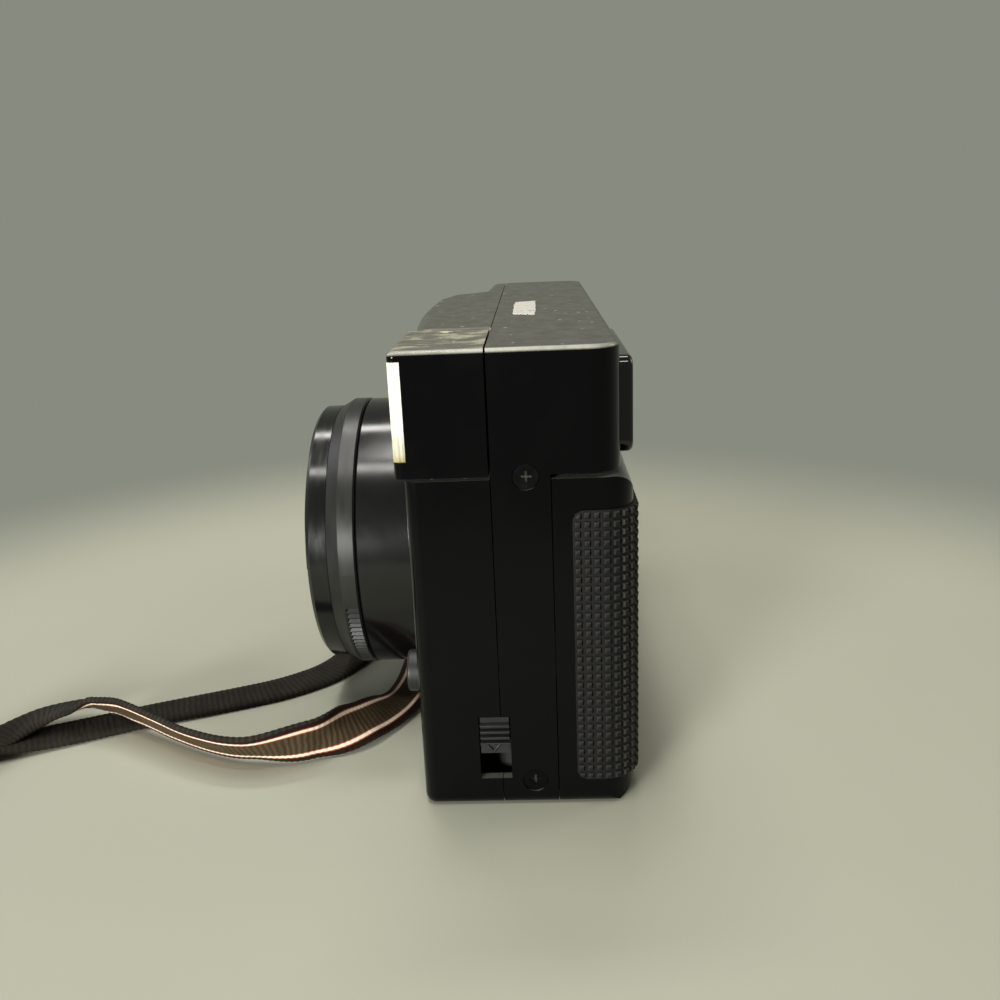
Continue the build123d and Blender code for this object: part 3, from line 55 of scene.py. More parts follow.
# Adds one shader node. Settings go to its inputs by name or number, or to the node itself, and a hex
# colour is made linear. A link comes from a socket, or from the first output of a node.
def addNode(tree, kind, settings=None, links=None):
    node = tree.nodes.new("ShaderNode" + kind)
    for name, value in (settings or {}).items():
        if isinstance(value, str) and value.startswith("#"):
            value = linear(value)
        if isinstance(name, int) or (name in node.inputs and not hasattr(node, name)):
            node.inputs[name].default_value = value
        else:
            setattr(node, name, value)
    for name, source in (links or {}).items():
        tree.links.new(source.outputs[0] if hasattr(source, "outputs") else source, node.inputs[name])
    return node


# An empty material with its shader, its piece coordinates and its output joined up
def newMaterial(name, sockets):
    material = bpy.data.materials.new(name)
    material.use_nodes = True
    tree = material.node_tree
    tree.nodes.clear()
    shader = addNode(tree, "BsdfPrincipled", sockets)
    addNode(tree, "OutputMaterial", {}, {"Surface": shader})
    place = addNode(tree, "TexCoord").outputs["Object"]
    return material, tree, shader, place


# Uneven gloss and a fine bump, the two things that nearly every real surface has. Clouds, grain and
# height, the bump's depth, are in millimetres. Gives back the clouds, for the colour to follow.
def finishSurface(tree, shader, place, gloss, clouds, grain, height, stretch=(1, 1, 1)):
    moved = addNode(tree, "Mapping", {"Scale": stretch}, {"Vector": place})
    cloud = addNode(
        tree, "TexNoise", {"Scale": 1000 / clouds, "Detail": 3.0, "Roughness": 0.6}, {"Vector": moved}
    )
    rough = addNode(
        tree, "MapRange", {"From Min": 0.35, "From Max": 0.68, "To Min": gloss[0], "To Max": gloss[1]},
        {"Value": cloud},
    )
    tree.links.new(rough.outputs[0], shader.inputs["Roughness"])
    fine = addNode(tree, "TexNoise", {"Scale": 1000 / grain, "Detail": 2.0}, {"Vector": moved})
    bump = addNode(tree, "Bump", {"Distance": height / 1000}, {"Height": fine})
    tree.links.new(bump.outputs[0], shader.inputs["Normal"])
    return cloud


def deselectAll():
    if bpy.context.mode != "OBJECT":
        bpy.ops.object.mode_set(mode="OBJECT")
    bpy.ops.object.select_all(action="DESELECT")


def pick(piece):
    deselectAll()
    piece.select_set(True)
    bpy.context.view_layer.objects.active = piece


# Names the piece just made, gives it its material and leaves it at the origin
def settle(name, material, body, smooth=None):
    piece = bpy.context.object
    piece.name = name
    piece.data.name = name
    bpy.ops.object.transform_apply(location=True, rotation=True, scale=True)
    piece.data.materials.clear()
    piece.data.materials.append(material)
    if smooth is not None:
        bpy.ops.object.shade_smooth_by_angle(angle=math.radians(smooth))
    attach(piece, body)
    return piece


def addModifier(piece, kind, **settings):
    modifier = piece.modifiers.new(kind.title(), kind)
    for name, value in settings.items():
        setattr(modifier, name, value)
    bpy.ops.object.modifier_apply(modifier=modifier.name)


# Selects the faces or edges of the mesh in edit mode that a test accepts
def selectWhere(test, kind="FACE"):
    mesh = bmesh.from_edit_mesh(bpy.context.object.data)
    bpy.ops.mesh.select_mode(type=kind)
    bpy.ops.mesh.select_all(action="DESELECT")
    for item in {"FACE": mesh.faces, "EDGE": mesh.edges}[kind]:
        if test(item):
            item.select_set(True)
    mesh.select_flush_mode()
    bmesh.update_edit_mesh(bpy.context.object.data)


# Makes all faces of the mesh in edit mode look outward, then leaves edit mode
def turnOutward():
    bpy.ops.mesh.select_all(action="SELECT")
    bpy.ops.mesh.normals_make_consistent(inside=False)
    bpy.ops.object.mode_set(mode="OBJECT")


def joinAll(pieces):
    deselectAll()
    for piece in pieces:
        piece.select_set(True)
    bpy.context.view_layer.objects.active = pieces[0]
    bpy.ops.object.join()


# Camera and studio

studio = {
    "place": (0.19612, 0.00298, 0.09643),
    "turn": (73.377, 2.318, 91.745),
    "lens": 35.113,
    "paper": "#c0c0b0",
    "paperShade": "#b6b7a6",
    "farPaper": "#888b7f",
    "shade": "#83867c",
    "shadeLevel": 0.34,
    "floorRadius": 4.0,
    "floorDrop": 0.00006,
    # centre and edges of the pool of light painted on the floor
    "lightPoolCentre": (0.02, -0.02, 0),
    "lightPoolFrom": 0.13,
    "lightPoolTo": 0.24,
    "aim": (0.01, -0.02, 0.035),
}

bpy.ops.object.camera_add(location=studio["place"], rotation=[math.radians(a) for a in studio["turn"]])
camera = bpy.context.object
camera.name = "viewCamera"
camera.data.lens = studio["lens"]
camera.data.sensor_width = 36.0
camera.data.clip_start = 0.01
bpy.context.scene.camera = camera
bpy.context.scene.view_settings.view_transform = "Standard"

lamps = [
    # name, place, width and height, watts, spread in degrees, colour; each looks at the studio's aim
    # three ceiling strips side by side, which make the three bright bands on the barrel
    ("farStrip", (-0.37, -0.09, 0.92), (0.42, 0.10), 1.12, 130, "#fffdf6"),
    ("middleStrip", (0.00, -0.09, 0.92), (0.42, 0.10), 1.12, 130, "#fffdf6"),
    ("closeStrip", (0.35, -0.09, 0.92), (0.42, 0.10), 0.95, 130, "#fffdf6"),
    ("nearLamp", (0.88, -0.52, 0.15), (0.30, 0.20), 1.00, 45, "#fffef8"),
    ("lensLamp", (-0.40, -0.95, 0.45), (0.50, 0.40), 0.35, 90, "#f6f8ff"),
    ("rearLamp", (-0.35, 0.95, 0.60), (0.50, 0.40), 0.45, 90, "#fff9ee"),
]
for name, place, size, watts, spread, colour in lamps:
    bpy.ops.object.light_add(type="AREA", location=place)
    lamp = bpy.context.object
    lamp.name = name
    lamp.data.shape = "RECTANGLE"
    lamp.data.size, lamp.data.size_y = size
    lamp.data.energy = watts
    lamp.data.spread = math.radians(spread)
    lamp.data.color = linear(colour)[:3]
    lamp.rotation_euler = (Vector(studio["aim"]) - Vector(place)).to_track_quat("-Z", "Y").to_euler()


# 1 for rays that show the background as it is: from the camera, a mirror or glass
def seenRays(tree):
    rays = addNode(tree, "LightPath")
    both = addNode(
        tree, "Math", {"operation": "MAXIMUM"},
        {0: rays.outputs["Is Camera Ray"], 1: rays.outputs["Is Glossy Ray"]},
    )
    return addNode(tree, "Math", {"operation": "MAXIMUM"}, {0: both, 1: rays.outputs["Is Transmission Ray"]})


world = bpy.data.worlds.new("studioWorld")
bpy.context.scene.world = world
world.use_nodes = True
tree = world.node_tree
tree.nodes.clear()
plain = addNode(tree, "Background", {"Color": studio["farPaper"]})
soft = addNode(tree, "Background", {"Color": studio["shade"], "Strength": studio["shadeLevel"]})
both = addNode(tree, "MixShader", {}, {0: seenRays(tree), 1: soft, 2: plain})
addNode(tree, "OutputWorld", {}, {"Surface": both})

# One sheet of pale paper with a painted pool of light round the object: to the camera, mirrors and glass it
# fades into the plain background far from the object
deselectAll()
bpy.ops.mesh.primitive_circle_add(
    vertices=96, radius=studio["floorRadius"], fill_type="NGON", location=(0, 0, -studio["floorDrop"])
)
floor = bpy.context.object
floor.name = "studioFloor"
floorPaper, tree, shader, place = newMaterial("paleSweepPaper", {"Roughness": 0.8})
grain = addNode(tree, "TexNoise", {"Scale": 9.0, "Detail": 5.0, "Roughness": 0.55}, {"Vector": place})
paper = addNode(tree, "Mix", {"data_type": "RGBA", 6: studio["paper"], 7: studio["paperShade"]}, {0: grain})
tree.links.new(paper.outputs[2], shader.inputs["Base Color"])
reach = addNode(
    tree, "VectorMath", {"operation": "DISTANCE", 1: studio["lightPoolCentre"]}, {0: place}
).outputs["Value"]
poolFalloff = addNode(
    tree, "MapRange",
    {"interpolation_type": "SMOOTHSTEP", "From Min": studio["lightPoolFrom"], "From Max": studio["lightPoolTo"]},
    {"Value": reach},
)
# the painted pool's falloff shows only to the camera and in mirrors and glass
poolFalloff = addNode(tree, "Math", {"operation": "MULTIPLY"}, {0: poolFalloff, 1: seenRays(tree)})
paintedDimFloor = addNode(tree, "Emission", {"Color": studio["farPaper"]})
sheet = addNode(tree, "MixShader", {}, {0: poolFalloff, 1: shader, 2: paintedDimFloor})
tree.links.new(sheet.outputs[0], tree.nodes["Material Output"].inputs["Surface"])
floor.data.materials.append(floorPaper)
print("studio ready")


# Materials, each named for what the real surface is

# Injection-moulded ABS, polished and black; dulled in patches by handling, dusty on top, painted highlight on
# upper edges
absPlastic = {
    "colour": "#050506",
    "dustColour": "#86867d",
    "speckColour": "#b3b1a8",
    "gloss": (0.07, 0.20),
    "mirror": "#8a8a8a",
    "topDull": 0.40,
    "speckTop": 0.70,
    "speckSide": 0.985,
    # the scuff colour for the upper edges, mostly a painted highlight of the ceiling strips
    "scuffAndHighlight": "#bfbeb3",
    "scuffAndHighlightHeight": (0.060, 0.070),
    "scuffAndHighlightShare": (0.15, 0.75),
}

# Dried glue and paper left by old tape on the flash head
tapeGlue = {
    "film": "#77766a",
    "streak": "#b3b09c",
    "blob": "#ded9ad",
    "blobPlace": (0.0318, -0.0121, 0.0770),
    "blobSize": 0.0021,
}


def makeAbs(name, settings, residue=None):
    material, tree, shader, place = newMaterial(name, {"IOR": 1.50, "Specular Tint": settings["mirror"]})
    cloud = finishSurface(tree, shader, place, settings["gloss"], 9.0, 0.35, 0.0015)
    facing = addNode(tree, "SeparateXYZ", {}, {0: addNode(tree, "NewGeometry").outputs["Normal"]})
    height = facing.outputs["Z"]
    up = addNode(tree, "MapRange", {"From Min": 0.75, "From Max": 0.98}, {"Value": height})
    film = addNode(tree, "TexNoise", {"Scale": 300.0, "Detail": 7.0, "Roughness": 0.75}, {"Vector": place})
    share = addNode(
        tree, "MapRange", {"From Min": 0.3, "From Max": 0.7, "To Min": 0.3, "To Max": 0.6}, {"Value": film}
    )
    dusty = addNode(tree, "Math", {"operation": "MULTIPLY"}, {0: up, 1: share})
    # specks of up to 0.4 mm, many on top and few on the sides
    cells = addNode(tree, "TexVoronoi", {"Scale": 520.0}, {"Vector": place})
    dice = addNode(tree, "SeparateColor", {}, {0: cells.outputs["Color"]})
    speckSize = addNode(tree, "MapRange", {"To Min": 0.03, "To Max": 0.21}, {"Value": dice.outputs["Green"]})
    near = addNode(tree, "Math", {"operation": "LESS_THAN"}, {0: cells.outputs["Distance"], 1: speckSize})
    limit = addNode(
        tree, "MapRange", {"To Min": settings["speckSide"], "To Max": settings["speckTop"]}, {"Value": up}
    )
    chosen = addNode(tree, "Math", {"operation": "GREATER_THAN"}, {0: dice.outputs["Red"], 1: limit})
    speck = addNode(tree, "Math", {"operation": "MULTIPLY"}, {0: near, 1: chosen})
    base = addNode(
        tree, "Mix", {"data_type": "RGBA", 6: settings["colour"], 7: settings["dustColour"]}, {0: dusty}
    )
    # fine scuffs and a painted highlight on the rounded upper edges that face up to the ceiling strips, most
    # at the camera's two ends
    rising = addNode(tree, "MapRange", {"From Min": 0.25, "From Max": 0.55}, {"Value": height})
    level = addNode(
        tree, "MapRange", {"From Min": 0.86, "From Max": 0.97, "To Min": 1.0, "To Max": 0.0},
        {"Value": height},
    )
    streaks = addNode(tree, "MapRange", {"From Min": 0.3, "From Max": 0.6, "To Min": 0.5}, {"Value": cloud})
    high = addNode(tree, "SeparateXYZ", {}, {0: place}).outputs["Z"]
    (low, top), (least, most) = settings["scuffAndHighlightHeight"], settings["scuffAndHighlightShare"]
    topMost = addNode(
        tree, "MapRange", {"From Min": low, "From Max": top, "To Min": least, "To Max": most}, {"Value": high}
    )
    ends = addNode(tree, "Math", {"operation": "ABSOLUTE"}, {0: facing.outputs["X"]})
    ends = addNode(tree, "MapRange", {"From Min": 0.1, "From Max": 0.4, "To Min": 0.12}, {"Value": ends})
    scuffAndHighlightMask = rising
    for share in (level, streaks, topMost, ends):
        scuffAndHighlightMask = addNode(tree, "Math", {"operation": "MULTIPLY"}, {0: scuffAndHighlightMask, 1: share})
    base = addNode(tree, "Mix", {"data_type": "RGBA", 7: settings["scuffAndHighlight"]}, {0: scuffAndHighlightMask, 6: base.outputs[2]})
    dull = addNode(tree, "Math", {"operation": "MULTIPLY", 1: settings["topDull"]}, {0: up})
    rough = shader.inputs["Roughness"].links[0].from_socket
    rough = addNode(tree, "Math", {"operation": "ADD"}, {0: rough, 1: dull})
    if residue:
        # a thin grey film, streaks along the tape, and one thick blob
        flow = addNode(tree, "Mapping", {"Scale": (1.7, 1.0, 1.0)}, {"Vector": place})
        smear = addNode(
            tree, "TexNoise", {"Scale": 150.0, "Detail": 6.0, "Roughness": 0.7, "Distortion": 0.6},
            {"Vector": flow},
        )
        filmShare = addNode(
            tree, "MapRange", {"From Min": 0.30, "From Max": 0.50, "To Max": 0.85}, {"Value": smear}
        )
        filmShare = addNode(tree, "Math", {"operation": "MULTIPLY"}, {0: filmShare, 1: up})
        streak = addNode(tree, "MapRange", {"From Min": 0.51, "From Max": 0.60}, {"Value": smear})
        streak = addNode(tree, "Math", {"operation": "MULTIPLY"}, {0: streak, 1: up})
        away = addNode(tree, "VectorMath", {"operation": "DISTANCE", 1: residue["blobPlace"]}, {0: place})
        lump = addNode(tree, "TexNoise", {"Scale": 700.0, "Detail": 3.0, "Roughness": 0.6}, {"Vector": place})
        ragged = addNode(
            tree, "MapRange", {"From Min": 0.35, "From Max": 0.65, "To Max": residue["blobSize"]},
            {"Value": lump},
        )
        blob = addNode(tree, "Math", {"operation": "LESS_THAN"}, {0: away.outputs["Value"], 1: ragged})
        for part, share in (("film", filmShare), ("streak", streak), ("blob", blob)):
            base = addNode(
                tree, "Mix", {"data_type": "RGBA", 7: residue[part]}, {0: share, 6: base.outputs[2]}
            )
        rough = addNode(tree, "Math", {"operation": "MAXIMUM"}, {0: rough, 1: streak})
        rough = addNode(tree, "Math", {"operation": "MINIMUM", 1: 0.6}, {0: rough})
    base = addNode(
        tree, "Mix", {"data_type": "RGBA", 7: settings["speckColour"]}, {0: speck, 6: base.outputs[2]}
    )
    tree.links.new(base.outputs[2], shader.inputs["Base Color"])
    tree.links.new(rough.outputs[0], shader.inputs["Roughness"])
    return material


polishedAbs = makeAbs("polishedBlackAbs", absPlastic)
gluedAbs = makeAbs("blackAbsWithTapeGlue", absPlastic, tapeGlue)


# A plain finish: one colour varied a little by its clouds, gloss and grain in millimetres
def makeFinish(name, colour, shade, gloss, clouds, grain, height, stretch=(1, 1, 1), **sockets):
    material, tree, shader, place = newMaterial(name, sockets)
    cloud = finishSurface(tree, shader, place, gloss, clouds, grain, height, stretch)
    base = addNode(tree, "Mix", {"data_type": "RGBA", 6: colour, 7: shade}, {0: cloud})
    tree.links.new(base.outputs[2], shader.inputs["Base Color"])
    return material


finishes = {
    # satin black enamel on the turned barrel
    "barrelEnamel": makeFinish("satinBlackEnamel", "#060607", "#0a0a0b", (0.15, 0.21), 12.0, 0.4, 0.001),
    # black anodised aluminium, slightly grey, with fine turning marks round the axis
    "ringAnodised": makeFinish(
        "blackAnodisedAluminium", "#191918", "#1f1f1e", (0.29, 0.37), 8.0, 0.2, 0.004, (1, 6, 1)
    ),
    "rimAnodised": makeFinish(
        "glossBlackAnodised", "#070708", "#0c0c0d", (0.15, 0.22), 9.0, 0.3, 0.001, (1, 6, 1)
    ),
    # sprayed matt black inside the lens and the film path, which kills reflections
    "insideMatt": makeFinish("mattBlackPaint", "#0f0f10", "#17171a", (0.72, 0.9), 4.0, 0.25, 0.01),
    "darkAbs": makeFinish("texturedBlackAbs", "#121213", "#1a1a1b", (0.5, 0.62), 5.0, 0.22, 0.012),
    "acrylicBlack": makeFinish("backPaintedAcrylic", "#070708", "#0c0c0e", (0.04, 0.09), 12.0, 0.6, 0.001),
    "blackRubber": makeFinish("mouldedBlackRubber", "#131313", "#1e1e1d", (0.6, 0.78), 2.5, 0.18, 0.012),
    "platedSteel": makeFinish(
        "nickelPlatedSteel", "#9fa3a8", "#b7bbc0", (0.22, 0.34), 4.0, 0.2, 0.003, Metallic=1.0
    ),
    "blackSteel": makeFinish(
        "blackenedSteel", "#1b1b1c", "#2b2b2c", (0.34, 0.46), 2.0, 0.15, 0.004, Metallic=1.0
    ),
    "turnedBrass": makeFinish(
        "nickelledBrass", "#a39a80", "#b8b09a", (0.28, 0.4), 3.0, 0.15, 0.004, Metallic=1.0
    ),
    "bronzeLeaf": makeFinish(
        "rolledPhosphorBronze", "#a5713f", "#b8864f", (0.25, 0.36), 3.0, 0.2, 0.004, Metallic=1.0
    ),
    "brightSheet": makeFinish(
        "brightAnodisedSheet", "#d9dcde", "#e6e8ea", (0.06, 0.12), 6.0, 0.4, 0.002, Metallic=1.0
    ),
    "acetal": makeFinish("naturalAcetal", "#cfcab8", "#dcd8c8", (0.42, 0.55), 5.0, 0.25, 0.004),
    "boardLaminate": makeFinish("lacqueredLaminate", "#1e4a30", "#2a6141", (0.3, 0.42), 2.0, 0.3, 0.004),
    "shrinkSleeve": makeFinish("shrinkSleeve", "#17172a", "#20203a", (0.2, 0.32), 4.0, 0.4, 0.003),
    "sealFoam": makeFinish("openCellFoam", "#101010", "#1c1c1c", (0.9, 1.0), 1.0, 0.35, 0.12),
    "pressedVinyl": makeFinish("pressedVinyl", "#131313", "#1e1d1c", (0.45, 0.6), 2.0, 0.35, 0.05),
    "keyPlastic": makeFinish("fineSparkedAbs", "#0d0d0e", "#151516", (0.42, 0.55), 3.0, 0.18, 0.012),
    "lampPlastic": makeFinish("orangePolycarbonate", "#a8421a", "#c45a26", (0.12, 0.2), 4.0, 0.4, 0.002),
}


# Clear parts: the tint is thin, so most of what shows is what lies behind
def makeClear(name, tint, gloss, ior, coat="#ffffff"):
    sockets = {"Base Color": tint, "Roughness": gloss, "IOR": ior, "Specular Tint": coat}
    return newMaterial(name, {"Transmission Weight": 1.0, **sockets})[0]


coatedGlass = makeClear("coatedOpticalGlass", "#f2f4f8", 0.01, 1.52, "#8a86b8")
clearAcrylic = makeClear("clearAcrylic", "#dfe3e6", 0.04, 1.49)
darkAcrylic = makeClear("infraredRedAcrylic", "#3a0d10", 0.05, 1.49)
flashGlass = makeClear("xenonTubeGlass", "#eef2f2", 0.03, 1.47)

# Prismatic acrylic of the flash window: nearly white, with a stain that creeps up from its lower end
windowAcrylic = {
    "colour": "#fdfcf4", "shade": "#f2f0e4", "stain": "#8f8440", "stainTop": 0.0650, "stainFoot": 0.0600,
    # groove is the colour of the painted shade lines along the prisms
    "groove": "#a8a794", "prism": 0.00064, "prismShadeShare": 0.35, "prismDepth": 0.00005,
}
frosted, tree, shader, place = newMaterial(
    "prismaticAcrylic", {"IOR": 1.49, "Subsurface Weight": 0.25, "Subsurface Scale": 0.002}
)
cloud = finishSurface(tree, shader, place, (0.25, 0.4), 5.0, 0.4, 0.004)
body = addNode(
    tree, "Mix", {"data_type": "RGBA", 6: windowAcrylic["colour"], 7: windowAcrylic["shade"]}, {0: cloud}
)
level = addNode(tree, "SeparateXYZ", {}, {0: place}).outputs["Z"]
wander = addNode(tree, "Math", {"operation": "MULTIPLY_ADD", 1: 0.006, 2: -0.003}, {0: cloud})
level = addNode(tree, "Math", {"operation": "ADD"}, {0: level, 1: wander})
stained = addNode(
    tree, "MapRange", {"From Min": windowAcrylic["stainTop"], "From Max": windowAcrylic["stainFoot"]},
    {"Value": level},
)
body = addNode(
    tree, "Mix", {"data_type": "RGBA", 7: windowAcrylic["stain"]}, {0: stained, 6: body.outputs[2]}
)
# moulded upright prisms: a fine bump, and painted shade that darkens them into fine lines
across = addNode(
    tree, "VectorMath", {"operation": "DOT_PRODUCT", 1: (1.0, 1.0, 0.0)}, {0: place}
).outputs["Value"]
turn = addNode(tree, "Math", {"operation": "MULTIPLY", 1: 2 * math.pi / windowAcrylic["prism"]}, {0: across})
prisms = addNode(tree, "Math", {"operation": "SINE"}, {0: turn})
prisms = addNode(tree, "MapRange", {"From Min": -1.0}, {"Value": prisms})
prismShadeMix = addNode(tree, "Math", {"operation": "MULTIPLY", 1: windowAcrylic["prismShadeShare"]}, {0: prisms})
body = addNode(tree, "Mix", {"data_type": "RGBA", 7: windowAcrylic["groove"]}, {0: prismShadeMix, 6: body.outputs[2]})
fineBump = shader.inputs["Normal"].links[0].from_socket
prismBump = addNode(
    tree, "Bump", {"Distance": windowAcrylic["prismDepth"]}, {"Height": prisms, "Normal": fineBump}
)
tree.links.new(prismBump.outputs[0], shader.inputs["Normal"])
tree.links.new(body.outputs[2], shader.inputs["Base Color"])

# Blackened screw heads, whose cross slots a screwdriver has scraped bright
screwHead = {"black": "#1b1b1c", "scraped": "#5e5e5a", "sideSlot": 0.05262, "baseSlot": 0.00035}
scrapedSteel, tree, shader, place = newMaterial("scrapedBlackSteel", {"Metallic": 1.0})
finishSurface(tree, shader, place, (0.3, 0.42), 2.0, 0.15, 0.004)
depth = addNode(tree, "SeparateXYZ", {}, {0: place})
inSide = addNode(tree, "Math", {"operation": "LESS_THAN", 1: screwHead["sideSlot"]}, {0: depth.outputs["X"]})
inBase = addNode(
    tree, "Math", {"operation": "GREATER_THAN", 1: screwHead["baseSlot"]}, {0: depth.outputs["Z"]}
)
slot = addNode(tree, "Math", {"operation": "MULTIPLY"}, {0: inSide, 1: inBase})
steel = addNode(
    tree, "Mix", {"data_type": "RGBA", 6: screwHead["black"], 7: screwHead["scraped"]}, {0: slot}
)
tree.links.new(steel.outputs[2], shader.inputs["Base Color"])

# Printed cell wrap: dark blue band, with the bare steel cap above it
cellWrap = {
    "colour": "#1d3a63", "band": "#c8a23a", "bandFrom": 0.0405, "steel": "#b4b7bb", "steelFrom": 0.0519,
}
wrapped, tree, shader, place = newMaterial("printedCellWrap", {})
finishSurface(tree, shader, place, (0.22, 0.34), 8.0, 0.4, 0.003)
level = addNode(tree, "SeparateXYZ", {}, {0: place}).outputs["Z"]
banded = addNode(tree, "Math", {"operation": "GREATER_THAN", 1: cellWrap["bandFrom"]}, {0: level})
bare = addNode(tree, "Math", {"operation": "GREATER_THAN", 1: cellWrap["steelFrom"]}, {0: level})
body = addNode(tree, "Mix", {"data_type": "RGBA", 6: cellWrap["colour"], 7: cellWrap["band"]}, {0: banded})
body = addNode(tree, "Mix", {"data_type": "RGBA", 7: cellWrap["steel"]}, {0: bare, 6: body.outputs[2]})
tree.links.new(body.outputs[2], shader.inputs["Base Color"])
tree.links.new(bare.outputs[0], shader.inputs["Metallic"])

# The finish of each CAD node
dressing = {
    "front_shell": polishedAbs, "rear_shell": polishedAbs, "rear_door": polishedAbs,
    "battery_door": polishedAbs, "flash_housing": gluedAbs, "lens_barrel": finishes["barrelEnamel"],
    "film_speed_ring": finishes["ringAnodised"], "front_ring": finishes["rimAnodised"],
    "lens_face": finishes["insideMatt"], "metering_window": clearAcrylic,
    "lens_cell": finishes["rimAnodised"], "front_glass": coatedGlass, "rear_glass": coatedGlass,
    "shutter_block": finishes["insideMatt"], "chassis": finishes["insideMatt"],
    "window_panel": finishes["acrylicBlack"], "finder_window": clearAcrylic, "af_windows": darkAcrylic,
    "af_module": finishes["insideMatt"], "finder_tube": finishes["insideMatt"],
    "eyepiece_bezel": finishes["acrylicBlack"], "eyepiece_lens": clearAcrylic,
    "ready_lamp": finishes["lampPlastic"], "circuit_board": finishes["boardLaminate"],
    "flash_capacitor": finishes["shrinkSleeve"], "motor": finishes["platedSteel"],
    "take_up_spool": finishes["darkAbs"], "sprocket": finishes["darkAbs"],
    "idler_gear": finishes["acetal"], "rewind_fork": finishes["darkAbs"], "battery_cells": wrapped,
    "battery_contacts": finishes["platedSteel"], "battery_pin": finishes["platedSteel"],
    "battery_bridge": finishes["platedSteel"], "shutter_button": finishes["rimAnodised"],
    "shutter_collar": finishes["ringAnodised"], "counter_window": clearAcrylic,
    "counter_dial": finishes["acetal"], "flash_key": finishes["keyPlastic"], "flash_window": frosted,
    "flash_reflector": finishes["brightSheet"], "flash_tube": flashGlass,
    "hinge_pin": finishes["platedSteel"], "grip_pad": finishes["blackRubber"],
    "front_pad": finishes["blackRubber"], "pressure_plate": finishes["barrelEnamel"],
    "plate_spring": finishes["bronzeLeaf"], "light_seal": finishes["sealFoam"],
    "latch_slide": finishes["keyPlastic"], "rewind_switch": finishes["keyPlastic"],
    "tripod_bush": finishes["turnedBrass"], "side_screws": scrapedSteel, "bottom_screws": scrapedSteel,
    "strap_lug": finishes["blackSteel"], "strap_keeper": finishes["pressedVinyl"],
    "wrist_strap": finishes["darkAbs"],
}
for name, material in dressing.items():
    mesh = nodes[name].data
    mesh.materials.clear()
    mesh.materials.append(material)
print("CAD nodes dressed:", len(dressing), "of", len(nodes))


# Wrist strap: a flat woven ribbon, plain on one face and striped on the other

strapSettings = {
    "width": 0.0088,
    "thickness": 0.0011,
    "ribPitch": 0.0011,
    "ribDepth": 0.00006,
    "scallop": 0.00004,
    "hangFrom": 0.008,
    "hangOver": 0.022,
    "step": 0.00025,
    "length": 0.487,
    # x, y, z in metres, and the ribbon's twist in degrees there
    "route": [
        (-0.0803, -0.0112, 0.0440, 0), (-0.0803, -0.0130, 0.0300, 0), (-0.0795, -0.0190, 0.0150, 0),
        (-0.0735, -0.0285, 0.0040, 0), (-0.0580, -0.0365, 0.0008, 0), (-0.0360, -0.0386, 0.0007, 0),
        (-0.0140, -0.0376, 0.0007, 0), (0.0015, -0.0415, 0.0007, 0), (0.0102, -0.0513, 0.0007, 0),
        (0.0150, -0.0622, 0.0007, 0), (0.0211, -0.0775, 0.0007, 0), (0.0275, -0.0910, 0.0007, 0),
        (0.0331, -0.1022, 0.0013, 5), (0.0380, -0.1140, 0.0050, 80), (0.0465, -0.1215, 0.0048, 90),
        (0.0560, -0.1175, 0.0048, 90), (0.0555, -0.1075, 0.0046, 60), (0.0440, -0.1065, 0.0030, 15),
        (0.0330, -0.1045, 0.0014, 0), (0.0262, -0.0990, 0.0030, -4), (0.0236, -0.0912, 0.0046, -12),
        (0.0241, -0.0850, 0.0050, -45), (0.0272, -0.0783, 0.0050, -57), (0.0322, -0.0705, 0.0046, -58),
        (0.0375, -0.0618, 0.0042, -54), (0.0412, -0.0520, 0.0042, -52), (0.0397, -0.0400, 0.0049, -80),
        (0.0300, -0.0305, 0.0040, -145), (0.0150, -0.0246, 0.0007, -180), (-0.0080, -0.0236, 0.0007, -180),
        (-0.0320, -0.0246, 0.0007, -180), (-0.0550, -0.0269, 0.0007, -180), (-0.0710, -0.0255, 0.0040, -180),
        (-0.0802, -0.0180, 0.0130, -180), (-0.0817, -0.0118, 0.0270, -180), (-0.0817, -0.0110, 0.0440, -180),
    ],
}


# Reads even steps along the route's own NURBS spline: place and twist at each
def strapLine(settings):
    route = settings["route"]
    curve = bpy.data.curves.new("strapRoute", "CURVE")
    curve.dimensions = "3D"
    spline = curve.splines.new("NURBS")
    spline.points.add(len(route) - 1)
    for point, (x, y, z, twist) in zip(spline.points, route):
        point.co = (x, y, z, 1.0)
    spline.order_u = 3
    spline.use_endpoint_u = True
    spline.resolution_u = 24
    holder = bpy.data.objects.new("strapRoute", curve)
    line = bpy.data.meshes.new_from_object(holder)
    points = [v.co.copy() for v in line.vertices]
    bpy.data.objects.remove(holder)
    # where each control point acts, in spans of the spline
    spans = len(route) - 2
    acts = [0.0] + [i - 0.5 for i in range(1, len(route) - 1)] + [float(spans)]
    walked = [0.0]
    for a, b in zip(points, points[1:]):
        walked.append(walked[-1] + (b - a).length)
    steps = round(walked[-1] / settings["step"])
    line, j = [], 0
    for i in range(steps + 1):
        target = walked[-1] * i / steps
        while j < len(points) - 2 and walked[j + 1] < target:
            j += 1
        share = (target - walked[j]) / (walked[j + 1] - walked[j])
        span = (j + share) * spans / (len(points) - 1)
        k = max(n for n in range(len(acts) - 1) if acts[n] <= span + 1e-9)
        t = (span - acts[k]) / (acts[k + 1] - acts[k])
        t = t * t * (3 - 2 * t)
        twist = route[k][3] * (1 - t) + route[k + 1][3] * t
        line.append((points[j].lerp(points[j + 1], share), math.radians(twist)))
    return line


